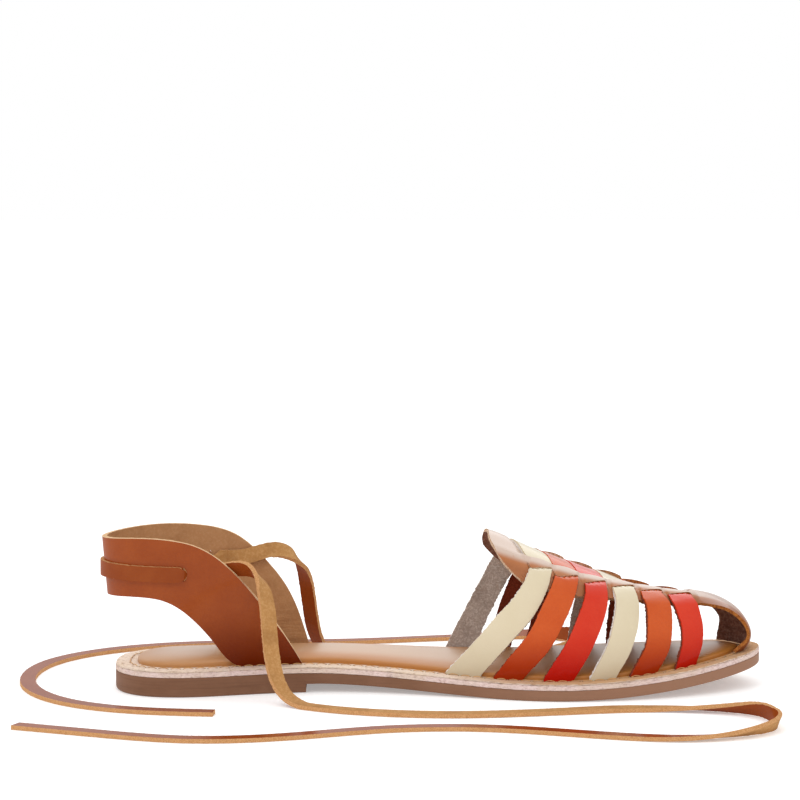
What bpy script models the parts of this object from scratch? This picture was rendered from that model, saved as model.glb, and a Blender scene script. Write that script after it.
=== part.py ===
"""A flat leather sandal for the left foot: sole, padded insole, woven vamp, heel band and lace.

Sizes are in millimetres and are turned into metres as the meshes are made.  A station is the
distance forward from the back of the heel, across is the distance to the outer side of the
foot, and height is the distance up from the floor.
"""
from collections import namedtuple
from math import cos, pi, radians, sin, sqrt

import bmesh
import bpy
import numpy as np

MM = 0.001

# Where the part's origin lies in the sandal's own stations and across sizes.
ORIGIN_STATION = 123.5
ORIGIN_ACROSS = 6.9

# Sole layers.
SOLE_LENGTH = 253.0
HEEL_SEAT = 7.5            # height of the outsole's top under the heel
OUTSOLE_THICKNESS = 4.0
HEEL_BREAST = 75.0         # station of the front of the heel block
SEAT_END = 72.0            # the top starts to fall here
TREAD_BACK = 160.0         # the forefoot stands flat on the floor from here
TREAD_FRONT = 168.0        # to here, where the toe spring starts
TOE_SPRING = 0.00121       # rise for each square millimetre past the tread
MIDSOLE_THICKNESS = 2.4
INSOLE_EDGE = 0.9
INSOLE_CROWN = 2.5
INSOLE_INSET = 8.7
GAP = 0.3                  # free space between neighbouring pieces
VAMP_RISE = 0.2            # the ends of the straps' middle lines stand this much higher

# Leather.
STRAP_THICKNESS = 1.8
SPINE_THICKNESS = 1.5
BAND_THICKNESS = 2.0
FEATHER_INSET = 7.3        # straps and band enter the sole this far in from its edge
LACE_WIDTH = 6.0
LACE_THICKNESS = 1.6
LACE_HEIGHT = 47.3         # height of the lace's middle on the heel band

SolePoint = namedtuple("SolePoint", "station across")
OUTLINE = [
    SolePoint(0.0, -0.5),
    SolePoint(2.4, -15.0), SolePoint(12, -25.2), SolePoint(25, -28.2), SolePoint(50, -23.0),
    SolePoint(78, -17.4), SolePoint(106, -19.6), SolePoint(142, -29.6), SolePoint(170, -36.2),
    SolePoint(190, -35.4), SolePoint(208, -31.4), SolePoint(226, -24.4), SolePoint(241, -15.2),
    SolePoint(250, -6.0),
    SolePoint(SOLE_LENGTH, 3.5),
    SolePoint(251, 13), SolePoint(243, 26.5), SolePoint(227, 39.2), SolePoint(208, 47.4),
    SolePoint(186, 50.2), SolePoint(160, 46.4), SolePoint(128, 39.8), SolePoint(90, 35.0),
    SolePoint(50, 31.0), SolePoint(25, 27.0), SolePoint(12, 23.4), SolePoint(2.4, 13.0),
]

# Height of the vamp's middle line, along the foot.
RidgePoint = namedtuple("RidgePoint", "station height")
RIDGE = [
    RidgePoint(143, 61.0), RidgePoint(150, 58.8), RidgePoint(157, 55.6), RidgePoint(165, 52.2),
    RidgePoint(175, 48.4), RidgePoint(186, 44.4), RidgePoint(197, 41.4), RidgePoint(208, 38.8),
    RidgePoint(219, 36.9), RidgePoint(229, 35.5),
]

# Half width of the woven middle band as an angle from the top of the vamp.
SpineWidth = namedtuple("SpineWidth", "station angle")
SPINE_WIDTHS = [
    SpineWidth(144, 40), SpineWidth(160, 41), SpineWidth(182, 39), SpineWidth(194, 35),
    SpineWidth(206, 32), SpineWidth(218, 30), SpineWidth(229, 29),
]
THROAT_APEX = 144.6
THROAT_INNER = 159.3
THROAT_OUTER = 149.6
THROAT_BEND = 2.6
SPINE_FRONT = 229.0

# The spine runs on over the toe and down into the sole.
ToeRow = namedtuple("ToeRow", "station height tilt across inner outer inner_drop outer_drop")
TOE_ROWS = [
    ToeRow(234.4, 34.3, 16, 7.4, 11.6, 12.6, 2.4, 3.4),
    ToeRow(239.6, 32.3, 30, 6.2, 11.8, 13.4, 1.9, 3.8),
    ToeRow(244.1, 29.1, 45, 5.2, 12.0, 14.2, 1.8, 4.8),
    ToeRow(247.4, 24.9, 60, 4.6, 12.2, 15.0, 2.2, 6.4),
    ToeRow(249.0, 20.4, 78, 4.3, 12.4, 15.6, 3.2, 8.2),
    ToeRow(248.6, 17.0, 92, 4.1, 12.2, 15.8, 4.4, 9.4),
    ToeRow(247.6, 14.6, 90, 4.1, 12.0, 15.6, 5.0, 9.4),
]

# Cross straps: stations of the middle of each strap, from its foot on the inner side,
# up its inner side, over the spine and down the outer side, at fixed angles from the top.
STRAP_ANGLES = (-90, -55, -20, 0, 20, 55, 90)
Strap = namedtuple("Strap", "name foot_width side_width slit_width inner_foot inner_side "
                            "inner_slit ridge outer_slit outer_side outer_foot")
STRAPS = [
    Strap("first", 8.4, 10.0, 9.8, 134.8, 157.8, 166.6, 165.2, 161.2, 150.2, 136.2),
    Strap("second", 9.0, 9.6, 9.2, 153.9, 170.0, 176.6, 175.4, 170.0, 160.2, 151.0),
    Strap("third", 9.2, 9.6, 8.8, 171.0, 184.6, 187.4, 185.6, 181.0, 173.5, 167.0),
    Strap("fourth", 9.4, 9.6, 9.0, 188.6, 197.6, 198.4, 196.6, 193.4, 187.6, 184.0),
    Strap("fifth", 8.6, 9.2, 8.4, 205.5, 211.6, 210.2, 208.4, 206.4, 202.2, 200.0),
    Strap("sixth", 8.2, 9.0, 8.8, 222.0, 225.0, 222.0, 220.6, 219.6, 218.0, 216.4),
]

# Heel band edges, from the back of the heel to where the band enters the sole.
BandEdge = namedtuple("BandEdge", "station height")
INNER, OUTER = -1, 1
BAND_TOP = {
    INNER: [
        BandEdge(-4.3, 59.3), BandEdge(13, 60.8), BandEdge(24, 60.2), BandEdge(34, 57.6),
        BandEdge(43, 52.0), BandEdge(50, 45.2), BandEdge(58, 35.0), BandEdge(66, 23.0),
        BandEdge(73, 10.8),
    ],
    OUTER: [
        BandEdge(-4.3, 59.3), BandEdge(13, 60.8), BandEdge(30, 60.4), BandEdge(39, 59.0),
        BandEdge(45.5, 56.6), BandEdge(51.5, 52.4), BandEdge(58, 45.8), BandEdge(65.4, 36.2),
        BandEdge(71, 24.2), BandEdge(75, 10.8),
    ],
}
BAND_BOTTOM = [
    BandEdge(-1.6, 36.9), BandEdge(13, 37.9), BandEdge(20, 37.0), BandEdge(25, 34.8),
    BandEdge(30, 31.0), BandEdge(35, 25.8), BandEdge(40, 19.2), BandEdge(44.5, 13.2),
    BandEdge(47.5, 10.8),
]
BAND_HALF_WIDTH = 23.6
BAND_STRAIGHT = 28.0       # the band's sides run straight forward from this station
BAND_TURN_SHARE = 0.45     # share of the band's columns that go round the heel
BAND_FREE_HEIGHT = 52.0    # above this the sides keep their own width

SLIT_INNER = 29.2
SLIT_OUTER = 36.4
SLIT_LENGTH = 6.6
SLIT_HEIGHT = 7.4
LACE_GAP = 0.5             # free space between the lace and the band
LACE_INSIDE = 6.5          # the lace ends this far past the middle of its slit

# Free ends of the lace: points of the middle line, and the roll of the thong, where
# nought stands on edge and a quarter turn lies flat.  Nothing sinks below the floor.
TiePoint = namedtuple("TiePoint", "station across height roll")
INNER_TIE = [
    TiePoint(36.1, -21.1, 47.3, 0), TiePoint(41.0, -20.9, 47.8, 4),
    TiePoint(46.0, -20.7, 48.7, 12), TiePoint(50.8, -21.2, 49.2, 25),
    TiePoint(55.2, -23.3, 47.9, 44), TiePoint(58.5, -26.5, 43.8, 64),
    TiePoint(60.2, -29.6, 37.6, 80), TiePoint(61.2, -31.9, 30.4, 88),
    TiePoint(62.0, -33.8, 21.6, 90), TiePoint(63.6, -36.6, 12.2, 90),
    TiePoint(67.0, -41.0, 5.0, 90), TiePoint(73.6, -47.2, 1.2, 90),
    TiePoint(84.0, -54.0, 0.2, 90), TiePoint(102.0, -61.0, 0, 90),
    TiePoint(132.0, -65.0, 0, 90), TiePoint(168.0, -60.0, 0, 90),
    TiePoint(204.0, -54.0, 0, 90), TiePoint(231.0, -58.0, 0, 66),
    TiePoint(247.0, -70.0, 0, 18), TiePoint(249.0, -87.0, 0, -18),
    TiePoint(237.0, -102.0, 0, -60), TiePoint(211.0, -108.5, 0, -86),
    TiePoint(177.0, -100.0, 0, -90), TiePoint(142.0, -90.0, 0, -90),
    TiePoint(106.0, -92.0, 0, -90), TiePoint(71.0, -105.0, 0, -90),
    TiePoint(36.0, -110.0, 0, -90), TiePoint(4.0, -100.0, 0, -90),
    TiePoint(-29.0, -86.0, 0, -90),
]
OUTER_TIE = [
    TiePoint(43.3, 21.3, 47.3, 0), TiePoint(49.5, 21.4, 47.8, -2),
    TiePoint(55.5, 21.3, 49.5, -6), TiePoint(61.0, 22.2, 50.4, -18),
    TiePoint(66.0, 24.6, 49.1, -36), TiePoint(70.2, 28.0, 45.4, -58),
    TiePoint(72.8, 31.8, 39.4, -78), TiePoint(74.2, 34.6, 31.0, -88),
    TiePoint(75.4, 37.0, 21.0, -90), TiePoint(77.6, 40.4, 11.4, -90),
    TiePoint(82.0, 45.2, 4.4, -90), TiePoint(89.5, 51.0, 1.0, -90),
    TiePoint(100.0, 56.0, 0.2, -90), TiePoint(119.0, 60.5, 0, -90),
    TiePoint(142.0, 62.0, 0, -90), TiePoint(168.0, 64.0, 0, -80),
    TiePoint(184.0, 72.0, 0, -50), TiePoint(190.0, 86.0, 0, -10),
    TiePoint(181.0, 100.0, 0, 36), TiePoint(161.0, 106.0, 0, 76),
    TiePoint(130.0, 102.0, 0, 90), TiePoint(96.0, 94.0, 0, 90),
    TiePoint(60.0, 90.0, 0, 90), TiePoint(24.0, 86.0, 0, 90),
    TiePoint(-8.0, 72.0, 0, 90), TiePoint(-29.0, 47.0, 0, 90),
    TiePoint(-36.0, 16.0, 0, 90), TiePoint(-31.0, -16.0, 0, 90),
    TiePoint(-14.0, -42.0, 0, 90), TiePoint(13.0, -57.0, 0, 90),
    TiePoint(42.0, -62.0, 0, 90),
]
TIE_FREE_LENGTH = 90.0     # the first stretch, which bends most, has closer points
TIE_FREE_POINTS = 26
TIE_POINTS = 84
FLOOR_GAP = 0.1

Finish = namedtuple("Finish", "colour roughness")
FINISHES = {
    "outsole": Finish((0.22, 0.11, 0.07), 0.85),
    "midsole": Finish((0.75, 0.58, 0.47), 0.80),
    "insole": Finish((0.58, 0.31, 0.13), 0.45),
    "vamp": Finish((0.52, 0.24, 0.12), 0.50),
    "heel_band": Finish((0.31, 0.07, 0.02), 0.45),
    "lace": Finish((0.36, 0.09, 0.03), 0.50),
}


# ---------------------------------------------------------------- curves and outlines

def spline_knots(points, closed):
    """Chord lengths along the points and the second derivatives of a cubic through them."""
    pts = np.array(points, dtype=float)
    if closed:
        pts = np.vstack([pts, pts[:1]])
    step = np.linalg.norm(np.diff(pts, axis=0), axis=1)
    last = len(pts) - 1
    matrix = np.zeros((last + 1, last + 1))
    right = np.zeros_like(pts)
    for i in range(1, last):
        matrix[i, i - 1:i + 2] = step[i - 1], 2 * (step[i - 1] + step[i]), step[i]
        right[i] = 6 * ((pts[i + 1] - pts[i]) / step[i] - (pts[i] - pts[i - 1]) / step[i - 1])
    matrix[0, 0] = 1
    matrix[last, last] = 1
    if closed:
        matrix[0, last] = -1
        matrix[last, [0, 1, last - 1, last]] += (2 * step[0], step[0], step[-1], 2 * step[-1] - 1)
        right[last] = 6 * ((pts[1] - pts[0]) / step[0] - (pts[0] - pts[last - 1]) / step[-1])
    return pts, step, np.linalg.solve(matrix, right)


def dense_curve(points, closed):
    """A smooth curve through the given points and the distance along it, finely divided."""
    pts, step, bend = spline_knots(points, closed)
    dense = []
    for i, length in enumerate(step):
        for t in np.linspace(0, 1, 24, endpoint=False):
            a, b = 1 - t, t
            curve = (a ** 3 - a) * bend[i] + (b ** 3 - b) * bend[i + 1]
            dense.append(a * pts[i] + b * pts[i + 1] + curve * length ** 2 / 6)
    dense.append(pts[-1])
    dense = np.array(dense)
    steps = np.linalg.norm(np.diff(dense[:, :3], axis=0), axis=1)
    return dense, np.concatenate([[0], np.cumsum(steps)])


def points_along(dense, along, wanted):
    return np.column_stack([np.interp(wanted, along, column) for column in dense.T])


def spline(points, count, closed=False):
    """Points at even distances along a smooth curve through the given ones."""
    dense, along = dense_curve(points, closed)
    return points_along(dense, along, np.linspace(0, along[-1], count))


def graph(table):
    """A smooth function of station through a table of (station, value) rows."""
    dense = spline([tuple(row) for row in table], 200)
    return lambda station: float(np.interp(station, dense[:, 0], dense[:, 1]))


LOOP = spline(OUTLINE, 721, closed=True)


def inset_sides(inset):
    """The sole's outline moved in by inset, as its inner and its outer side from the heel."""
    ahead = np.roll(LOOP[:-1], -1, axis=0) - np.roll(LOOP[:-1], 1, axis=0)
    ahead /= np.linalg.norm(ahead, axis=1)[:, None]
    inward = np.column_stack([-ahead[:, 1], ahead[:, 0]])
    loop = LOOP[:-1] + inward * inset
    back = int(np.argmin(loop[:, 0]))
    loop = np.roll(loop, -back, axis=0)
    front = int(np.argmax(loop[:, 0]))
    inner = loop[:front + 1]
    outer = np.vstack([loop[front:], loop[:1]])[::-1]
    return inner, outer


def edges_at(inset):
    """Functions that give the inner and the outer edge at a station."""
    inner, outer = inset_sides(inset)
    return (lambda station: float(np.interp(station, inner[:, 0], inner[:, 1])),
            lambda station: float(np.interp(station, outer[:, 0], outer[:, 1])))


def ease(t):
    """Smooth step from nought to one."""
    t = min(max(t, 0.0), 1.0)
    return t * t * (3 - 2 * t)


def outsole_top(station):
    """Height of the outsole's top: heel seat, shank, tread and toe spring."""
    share = (station - SEAT_END) / (TREAD_BACK - SEAT_END)
    fall = (HEEL_SEAT - OUTSOLE_THICKNESS) * ease(share)
    return HEEL_SEAT - fall + TOE_SPRING * max(0.0, station - TREAD_FRONT) ** 2


def midsole_top(station):
    """Height of the midsole's top, which the insole and the uppers stand on."""
    return outsole_top(station) + GAP + MIDSOLE_THICKNESS


# ---------------------------------------------------------------- the vamp's surface

FOOT_INNER, FOOT_OUTER = edges_at(FEATHER_INSET)
RIDGE_HEIGHT = graph(RIDGE)
SPINE_ANGLE = graph(SPINE_WIDTHS)


def foot_height(station):
    """Height of whatever stands on the midsole."""
    return midsole_top(station) + GAP


def vamp_point(station, angle):
    """The vamp's middle surface: half an ellipse over the foot at each station."""
    inner, outer = FOOT_INNER(station), FOOT_OUTER(station)
    foot = foot_height(station) + VAMP_RISE
    across = (inner + outer) / 2 + (outer - inner) / 2 * sin(angle)
    return np.array([station, across, foot + (RIDGE_HEIGHT(station) - foot) * cos(angle)])


def vamp_normal(station, angle):
    """Outward direction of the vamp's middle surface."""
    nudge = 0.5
    turn = radians(0.5)
    along = vamp_point(station + nudge, angle) - vamp_point(station - nudge, angle)
    round_foot = vamp_point(station, angle + turn) - vamp_point(station, angle - turn)
    normal = np.cross(along, round_foot)
    return normal / np.linalg.norm(normal)


# ---------------------------------------------------------------- making objects

def fresh_collection(name):
    collection = bpy.data.collections.new(name)
    bpy.context.scene.collection.children.link(collection)
    return collection


def material(kind):
    """A Principled material with the finish's colour and roughness."""
    made = bpy.data.materials.get(kind) or bpy.data.materials.new(kind)
    made.use_nodes = True
    shader = made.node_tree.nodes["Principled BSDF"]
    shader.inputs["Base Color"].default_value = (*FINISHES[kind].colour, 1)
    shader.inputs["Roughness"].default_value = FINISHES[kind].roughness
    shader.inputs["Metallic"].default_value = 0.0
    made.diffuse_color = (*FINISHES[kind].colour, 1)
    return made


def to_metres(point):
    station, across, height = point[:3]
    return ((station - ORIGIN_STATION) * MM, (across - ORIGIN_ACROSS) * MM, height * MM)


def add_object(name, mesh, collection, kind=None):
    made = bpy.data.objects.new(name, mesh)
    collection.objects.link(made)
    if kind:
        mesh.materials.append(material(kind))
        mesh.shade_smooth()
        mesh.set_sharp_from_angle(angle=radians(40))
    return made


def sheet_mesh(name, grid):
    """An open sheet through a grid of points, rows by columns."""
    rows, columns = len(grid), len(grid[0])
    mesh = bpy.data.meshes.new(name)
    points = [to_metres(p) for row in grid for p in row]
    faces = [(r * columns + c, (r + 1) * columns + c, (r + 1) * columns + c + 1, r * columns + c + 1)
             for r in range(rows - 1) for c in range(columns - 1)]
    mesh.from_pydata(points, [], faces)
    return mesh


def closed_mesh(name, lower, upper):
    """One closed body between two grids of the same size, joined round their borders."""
    rows, columns = len(lower), len(lower[0])
    size = rows * columns
    points = [to_metres(p) for grid in (lower, upper) for row in grid for p in row]
    faces = []
    for r in range(rows - 1):
        for c in range(columns - 1):
            a, b = r * columns + c, (r + 1) * columns + c
            faces.append((a, a + 1, b + 1, b))
            faces.append((size + a, size + b, size + b + 1, size + a + 1))
    border = [c for c in range(columns)]
    border += [r * columns + columns - 1 for r in range(1, rows)]
    border += [(rows - 1) * columns + c for c in range(columns - 2, -1, -1)]
    border += [r * columns for r in range(rows - 2, 0, -1)]
    for a, b in zip(border, border[1:] + border[:1]):
        faces.append((b, a, size + a, size + b))
    mesh = bpy.data.meshes.new(name)
    mesh.from_pydata(points, [], faces)
    work = bmesh.new()
    work.from_mesh(mesh)
    bmesh.ops.remove_doubles(work, verts=work.verts, dist=0.00001)
    bmesh.ops.dissolve_degenerate(work, edges=work.edges, dist=0.000005)
    bmesh.ops.recalc_face_normals(work, faces=work.faces)
    work.to_mesh(mesh)
    work.free()
    return mesh


# ---------------------------------------------------------------- sole

def sole_stations(first, last, count, extra=()):
    """Stations along a sole layer, closer together at its round ends."""
    even = [first + (last - first) * (1 - cos(pi * i / count)) / 2 for i in range(count + 1)]
    kept = [s for s in even if all(abs(s - e) > 2 for e in extra)]
    return sorted(kept + list(extra))


def sole_layer(name, inset, low, high, collection, kind, rows=44, columns=6, extra=()):
    """A sole layer whose faces' heights are functions of station and place across."""
    inner, outer = inset_sides(inset)
    inner_at, outer_at = edges_at(inset)
    lower, upper = [], []
    for station in sole_stations(inner[0, 0], inner[-1, 0], rows, extra):
        a, b = inner_at(station), outer_at(station)
        places = [-cos(pi * c / columns) for c in range(columns + 1)]
        line = [(place, (a + b) / 2 + (b - a) / 2 * place) for place in places]
        lower.append([(station, across, low(station, p)) for p, across in line])
        upper.append([(station, across, high(station, p)) for p, across in line])
    return add_object(name, closed_mesh(name, lower, upper), collection, kind)


def outsole_bottom(station, place):
    if station <= HEEL_BREAST:
        return 0.0
    return max(0.0, outsole_top(station) - OUTSOLE_THICKNESS)


def build_sole(collection):
    step = 0.02
    sole_layer("outsole", 0.0, outsole_bottom, lambda s, p: outsole_top(s), collection,
               "outsole", columns=4, extra=(HEEL_BREAST, HEEL_BREAST + step, TREAD_BACK, TREAD_FRONT))
    sole_layer("midsole", 0.0, lambda s, p: outsole_top(s) + GAP, lambda s, p: midsole_top(s),
               collection, "midsole", columns=4)

    def padded_top(station, place):
        swell = sqrt(max(0.0, 1 - place * place))
        ends = min(1.0, (station - INSOLE_INSET) / 9, (SOLE_LENGTH - INSOLE_INSET - station) / 9)
        return foot_height(station) + INSOLE_EDGE + INSOLE_CROWN * swell * sqrt(max(0.0, ends))

    sole_layer("insole", INSOLE_INSET, lambda s, p: foot_height(s), padded_top, collection,
               "insole", columns=8)


# ---------------------------------------------------------------- vamp

def hermite(places, values, at):
    """Value of a smooth curve through a few values, with slopes taken from its neighbours."""
    i = min(max(int(np.searchsorted(places, at)) - 1, 0), len(places) - 2)
    slopes = np.gradient(np.array(values, dtype=float), np.array(places, dtype=float))
    span = places[i + 1] - places[i]
    t = (at - places[i]) / span
    ends = (2 * t ** 3 - 3 * t ** 2 + 1) * values[i] + (3 * t ** 2 - 2 * t ** 3) * values[i + 1]
    lean = (t ** 3 - 2 * t ** 2 + t) * slopes[i] + (t ** 3 - t ** 2) * slopes[i + 1]
    return ends + lean * span


def strap_station(strap, angle):
    """Station of a strap's middle at an angle in degrees from the vamp's top."""
    return hermite(STRAP_ANGLES, strap[4:], angle)


def strap_half_width(strap, angle):
    """Half the strap's width measured along the foot, wider where the strap slants."""
    ahead = vamp_point(strap_station(strap, angle + 2), radians(angle + 2))
    behind = vamp_point(strap_station(strap, angle - 2), radians(angle - 2))
    path = ahead - behind
    width = np.interp(abs(angle), STRAP_ANGLES[4:], strap[3:0:-1])
    return width / 2 * np.linalg.norm(path) / np.linalg.norm(path[1:])


def strap_mesh(strap):
    half = STRAP_THICKNESS / 2
    lower, upper = [], []
    for angle in np.linspace(-90, 90, 35):
        middle = strap_station(strap, angle)
        reach = strap_half_width(strap, min(max(angle, -86), 86))
        turn = radians(angle)
        line = [middle - reach, middle, middle + reach]
        lower.append([vamp_point(s, turn) - vamp_normal(s, turn) * half for s in line])
        upper.append([vamp_point(s, turn) + vamp_normal(s, turn) * half for s in line])
    return closed_mesh("strap_" + strap.name, lower, upper)


def spine_surface(place, forward):
    """Point and outward direction on the spine behind the toe, place from -1 to 1 across."""
    corner = THROAT_INNER if place < 0 else THROAT_OUTER
    start = THROAT_APEX + (corner - THROAT_APEX) * abs(place) ** THROAT_BEND
    station = start + (SPINE_FRONT - start) * forward
    turn = radians(SPINE_ANGLE(station)) * place
    return vamp_point(station, turn), vamp_normal(station, turn)


def toe_surface(row, place):
    """Point and outward direction on the spine's toe end."""
    reach, drop = (row.inner, row.inner_drop) if place < 0 else (row.outer, row.outer_drop)
    turn = radians(36) * place
    share = (1 - cos(turn)) / (1 - cos(radians(36)))
    tilt = radians(row.tilt)
    outward = np.array([sin(tilt), 0.0, cos(tilt)])
    across = row.across + reach * sin(turn) / sin(radians(36))
    point = np.array([row.station, across, row.height]) - drop * share * outward
    point[1] = across
    bend = sin(turn) * min(1.0, 2 * drop / reach)
    normal = outward * sqrt(1 - bend * bend) + np.array([0.0, bend, 0.0])
    return point, normal


def spine_mesh():
    half = SPINE_THICKNESS / 2
    places = np.linspace(-1, 1, 11)
    rows = [[spine_surface(p, u) for p in places] for u in np.linspace(0, 1, 24)]
    rows += [[toe_surface(row, p) for p in places] for row in TOE_ROWS]
    lower = [[point - normal * half for point, normal in row] for row in rows]
    upper = [[point + normal * half for point, normal in row] for row in rows]
    return closed_mesh("vamp", lower, upper)


def build_vamp(collection, cutters):
    """Spine and cross straps joined where they cross, as one solid."""
    vamp = add_object("vamp", spine_mesh(), collection, "vamp")
    for strap in STRAPS:
        tool = add_object("strap_" + strap.name, strap_mesh(strap), cutters)
        join(vamp, tool, "UNION")
    return vamp


def join(target, tool, operation):
    """Add or cut with a guide object that the build leaves out."""
    tool.hide_render = True
    tool.display_type = "WIRE"
    boolean = target.modifiers.new(tool.name, "BOOLEAN")
    boolean.operation = operation
    boolean.object = tool


# ---------------------------------------------------------------- heel band and lace

BAND_TOP_HEIGHT = {side: graph(edge) for side, edge in BAND_TOP.items()}
BAND_BOTTOM_HEIGHT = graph(BAND_BOTTOM)


def band_back(height):
    """Station of the band's back at a height: it leans back as it rises."""
    low, high = BAND_BOTTOM[0], BAND_TOP[INNER][0]
    share = (height - low.height) / (high.height - low.height)
    return low.station + (high.station - low.station) * share


def band_across(side, station, height):
    """Distance of the band's middle surface to the side: round the heel, then to the feather."""
    back = band_back(height)
    lean = max(0.0, BAND_STRAIGHT - station) / (BAND_STRAIGHT - back)
    rim = BAND_HALF_WIDTH * sqrt(max(0.0, 1 - lean * lean))
    base = abs(FOOT_INNER(station) if side < 0 else FOOT_OUTER(station))
    low = max(0.0, min(1.0, (BAND_FREE_HEIGHT - height) / (BAND_FREE_HEIGHT - 10.8)))
    share = ease(low) * ease((station - 4) / 26)
    return side * (rim + (base - rim) * share)


def band_station(share, edge):
    """Station on an edge of the band, with share from nought at the back to one in front."""
    if share < BAND_TURN_SHARE:
        return BAND_STRAIGHT - (BAND_STRAIGHT - edge[0].station) * cos(pi / 2 * share / BAND_TURN_SHARE)
    ahead = (share - BAND_TURN_SHARE) / (1 - BAND_TURN_SHARE)
    return BAND_STRAIGHT + (edge[-1].station - BAND_STRAIGHT) * ahead


def band_point(side, share, rise):
    """The band's middle surface, with rise from nought at its lower edge to one at its top."""
    low, high = band_station(share, BAND_BOTTOM), band_station(share, BAND_TOP[side])
    station = low + (high - low) * rise
    bottom, top = BAND_BOTTOM_HEIGHT(low), BAND_TOP_HEIGHT[side](high)
    height = bottom + (top - bottom) * rise
    return np.array([station, band_across(side, station, height), height])


def slit_cutter(name, side, station, cutters):
    """A block through the band where the lace goes in."""
    across = band_across(side, station, LACE_HEIGHT)
    bpy.ops.mesh.primitive_cube_add(size=1, location=to_metres((station, across, LACE_HEIGHT)))
    tool = bpy.context.active_object
    tool.name = name
    tool.scale = (SLIT_LENGTH * MM, 9 * MM, SLIT_HEIGHT * MM)
    for owner in list(tool.users_collection):
        owner.objects.unlink(tool)
    cutters.objects.link(tool)
    return tool


def build_heel_band(collection, cutters):
    shares = np.linspace(0, 1, 25)
    columns = [(INNER, s) for s in shares[::-1]] + [(OUTER, s) for s in shares[1:]]
    grid = [[band_point(side, share, rise) for rise in np.linspace(0, 1, 8)]
            for side, share in columns]
    band = add_object("heel_band", sheet_mesh("heel_band", grid), collection, "heel_band")
    wall = band.modifiers.new("wall", "SOLIDIFY")
    wall.thickness = BAND_THICKNESS * MM
    wall.offset = 0.0
    wall.use_even_offset = True
    join(band, slit_cutter("slit_inner", INNER, SLIT_INNER, cutters), "DIFFERENCE")
    join(band, slit_cutter("slit_outer", OUTER, SLIT_OUTER, cutters), "DIFFERENCE")


def lace_line():
    """Middle of the lace round the heel, with the direction out of the band at each point."""
    reach = BAND_THICKNESS / 2 + LACE_GAP + LACE_THICKNESS / 2
    path = []
    for side, slit in ((INNER, SLIT_INNER), (OUTER, SLIT_OUTER)):
        half = []
        for station in np.concatenate([
                BAND_STRAIGHT - (BAND_STRAIGHT - band_back(LACE_HEIGHT)) * np.cos(
                    np.linspace(0, pi / 2, 22)[:-3]),
                np.linspace(slit - 4.2, slit + LACE_INSIDE, 9)]):
            nudge = 0.3
            ahead = max(band_back(LACE_HEIGHT), station - nudge)
            a = np.array([ahead, band_across(side, ahead, LACE_HEIGHT)])
            b = np.array([station + nudge, band_across(side, station + nudge, LACE_HEIGHT)])
            along = (b - a) / np.linalg.norm(b - a)
            out = np.array([-along[1], along[0], 0.0]) * side
            if station - band_back(LACE_HEIGHT) < nudge:
                out = np.array([-1.0, 0.0, 0.0])
            shift = reach * (1 - 2 * ease((station - slit + 2.6) / 5.2))
            centre = np.array([station, band_across(side, station, LACE_HEIGHT), LACE_HEIGHT])
            half.append((centre + out * shift))
        path.append(half)
    return path[0][::-1] + path[1][1:]


def build_lace(collection):
    """The lace's run round the outside of the heel, from inside one slit to inside the other."""
    line = lace_line()
    lower, upper = [], []
    for i, centre in enumerate(line):
        along = line[min(i + 1, len(line) - 1)] - line[max(i - 1, 0)]
        out = np.array([along[1], -along[0], 0.0])
        out = out / np.linalg.norm(out) * LACE_THICKNESS / 2
        rise = np.array([0.0, 0.0, LACE_WIDTH / 2])
        lower.append([centre - rise - out, centre + rise - out])
        upper.append([centre - rise + out, centre + rise + out])
    add_object("lace_back", closed_mesh("lace_back", lower, upper), collection, "lace")


def tie_line(route):
    """Points along a free end of the lace, closer together where it bends most."""
    dense, along = dense_curve([tuple(point) for point in route], False)
    wanted = np.concatenate([
        np.linspace(0, TIE_FREE_LENGTH, TIE_FREE_POINTS),
        np.linspace(TIE_FREE_LENGTH, along[-1], TIE_POINTS - TIE_FREE_POINTS + 1)[1:]])
    line = points_along(dense, along, wanted)
    for row in line:
        roll = radians(row[3])
        rest = abs(cos(roll)) * LACE_WIDTH / 2 + abs(sin(roll)) * LACE_THICKNESS / 2
        row[2] = max(row[2], rest + FLOOR_GAP)
    return line


def build_tie(name, route, collection):
    """A free end of the lace: a flat thong along a smooth route."""
    line = tie_line(route)
    curve = bpy.data.curves.new(name, "CURVE")
    curve.dimensions = "3D"
    curve.twist_mode = "Z_UP"
    curve.bevel_depth = LACE_THICKNESS / 2 * MM
    curve.extrude = (LACE_WIDTH - LACE_THICKNESS) / 2 * MM
    curve.bevel_resolution = 1
    curve.use_fill_caps = True
    run = curve.splines.new("POLY")
    run.points.add(len(line) - 1)
    for point, row in zip(run.points, line):
        point.co = (*to_metres(row), 1)
        point.tilt = radians(row[3])
    curve.materials.append(material("lace"))
    tie = bpy.data.objects.new(name, curve)
    collection.objects.link(tie)
    return tie


def main():
    for old in list(bpy.data.objects):
        bpy.data.objects.remove(old)
    parts = fresh_collection("roman_sandal")
    cutters = fresh_collection("guides")
    build_sole(parts)
    build_vamp(parts, cutters)
    build_heel_band(parts, cutters)
    build_lace(parts)
    build_tie("tie_inner", INNER_TIE, parts)
    build_tie("tie_outer", OUTER_TIE, parts)


main()
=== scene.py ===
"""Finished looks of a flat lace-up leather sandal for the left foot.

Lengths are in millimetres until a mesh is made.  A station is the distance forward from the
back of the heel, across is the distance to the outer side of the foot, and height is the
distance up from the floor.
"""

import logging
from contextlib import contextmanager
from dataclasses import dataclass, field
from enum import Enum
from math import cos, pi, radians, sin
from typing import Any, Callable, Iterator, Optional, Sequence

import bmesh
import bpy
import numpy as np
from bpy.types import Material, Mesh, Node, NodeSocket, NodeTree, Object
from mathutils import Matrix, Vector, noise

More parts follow.
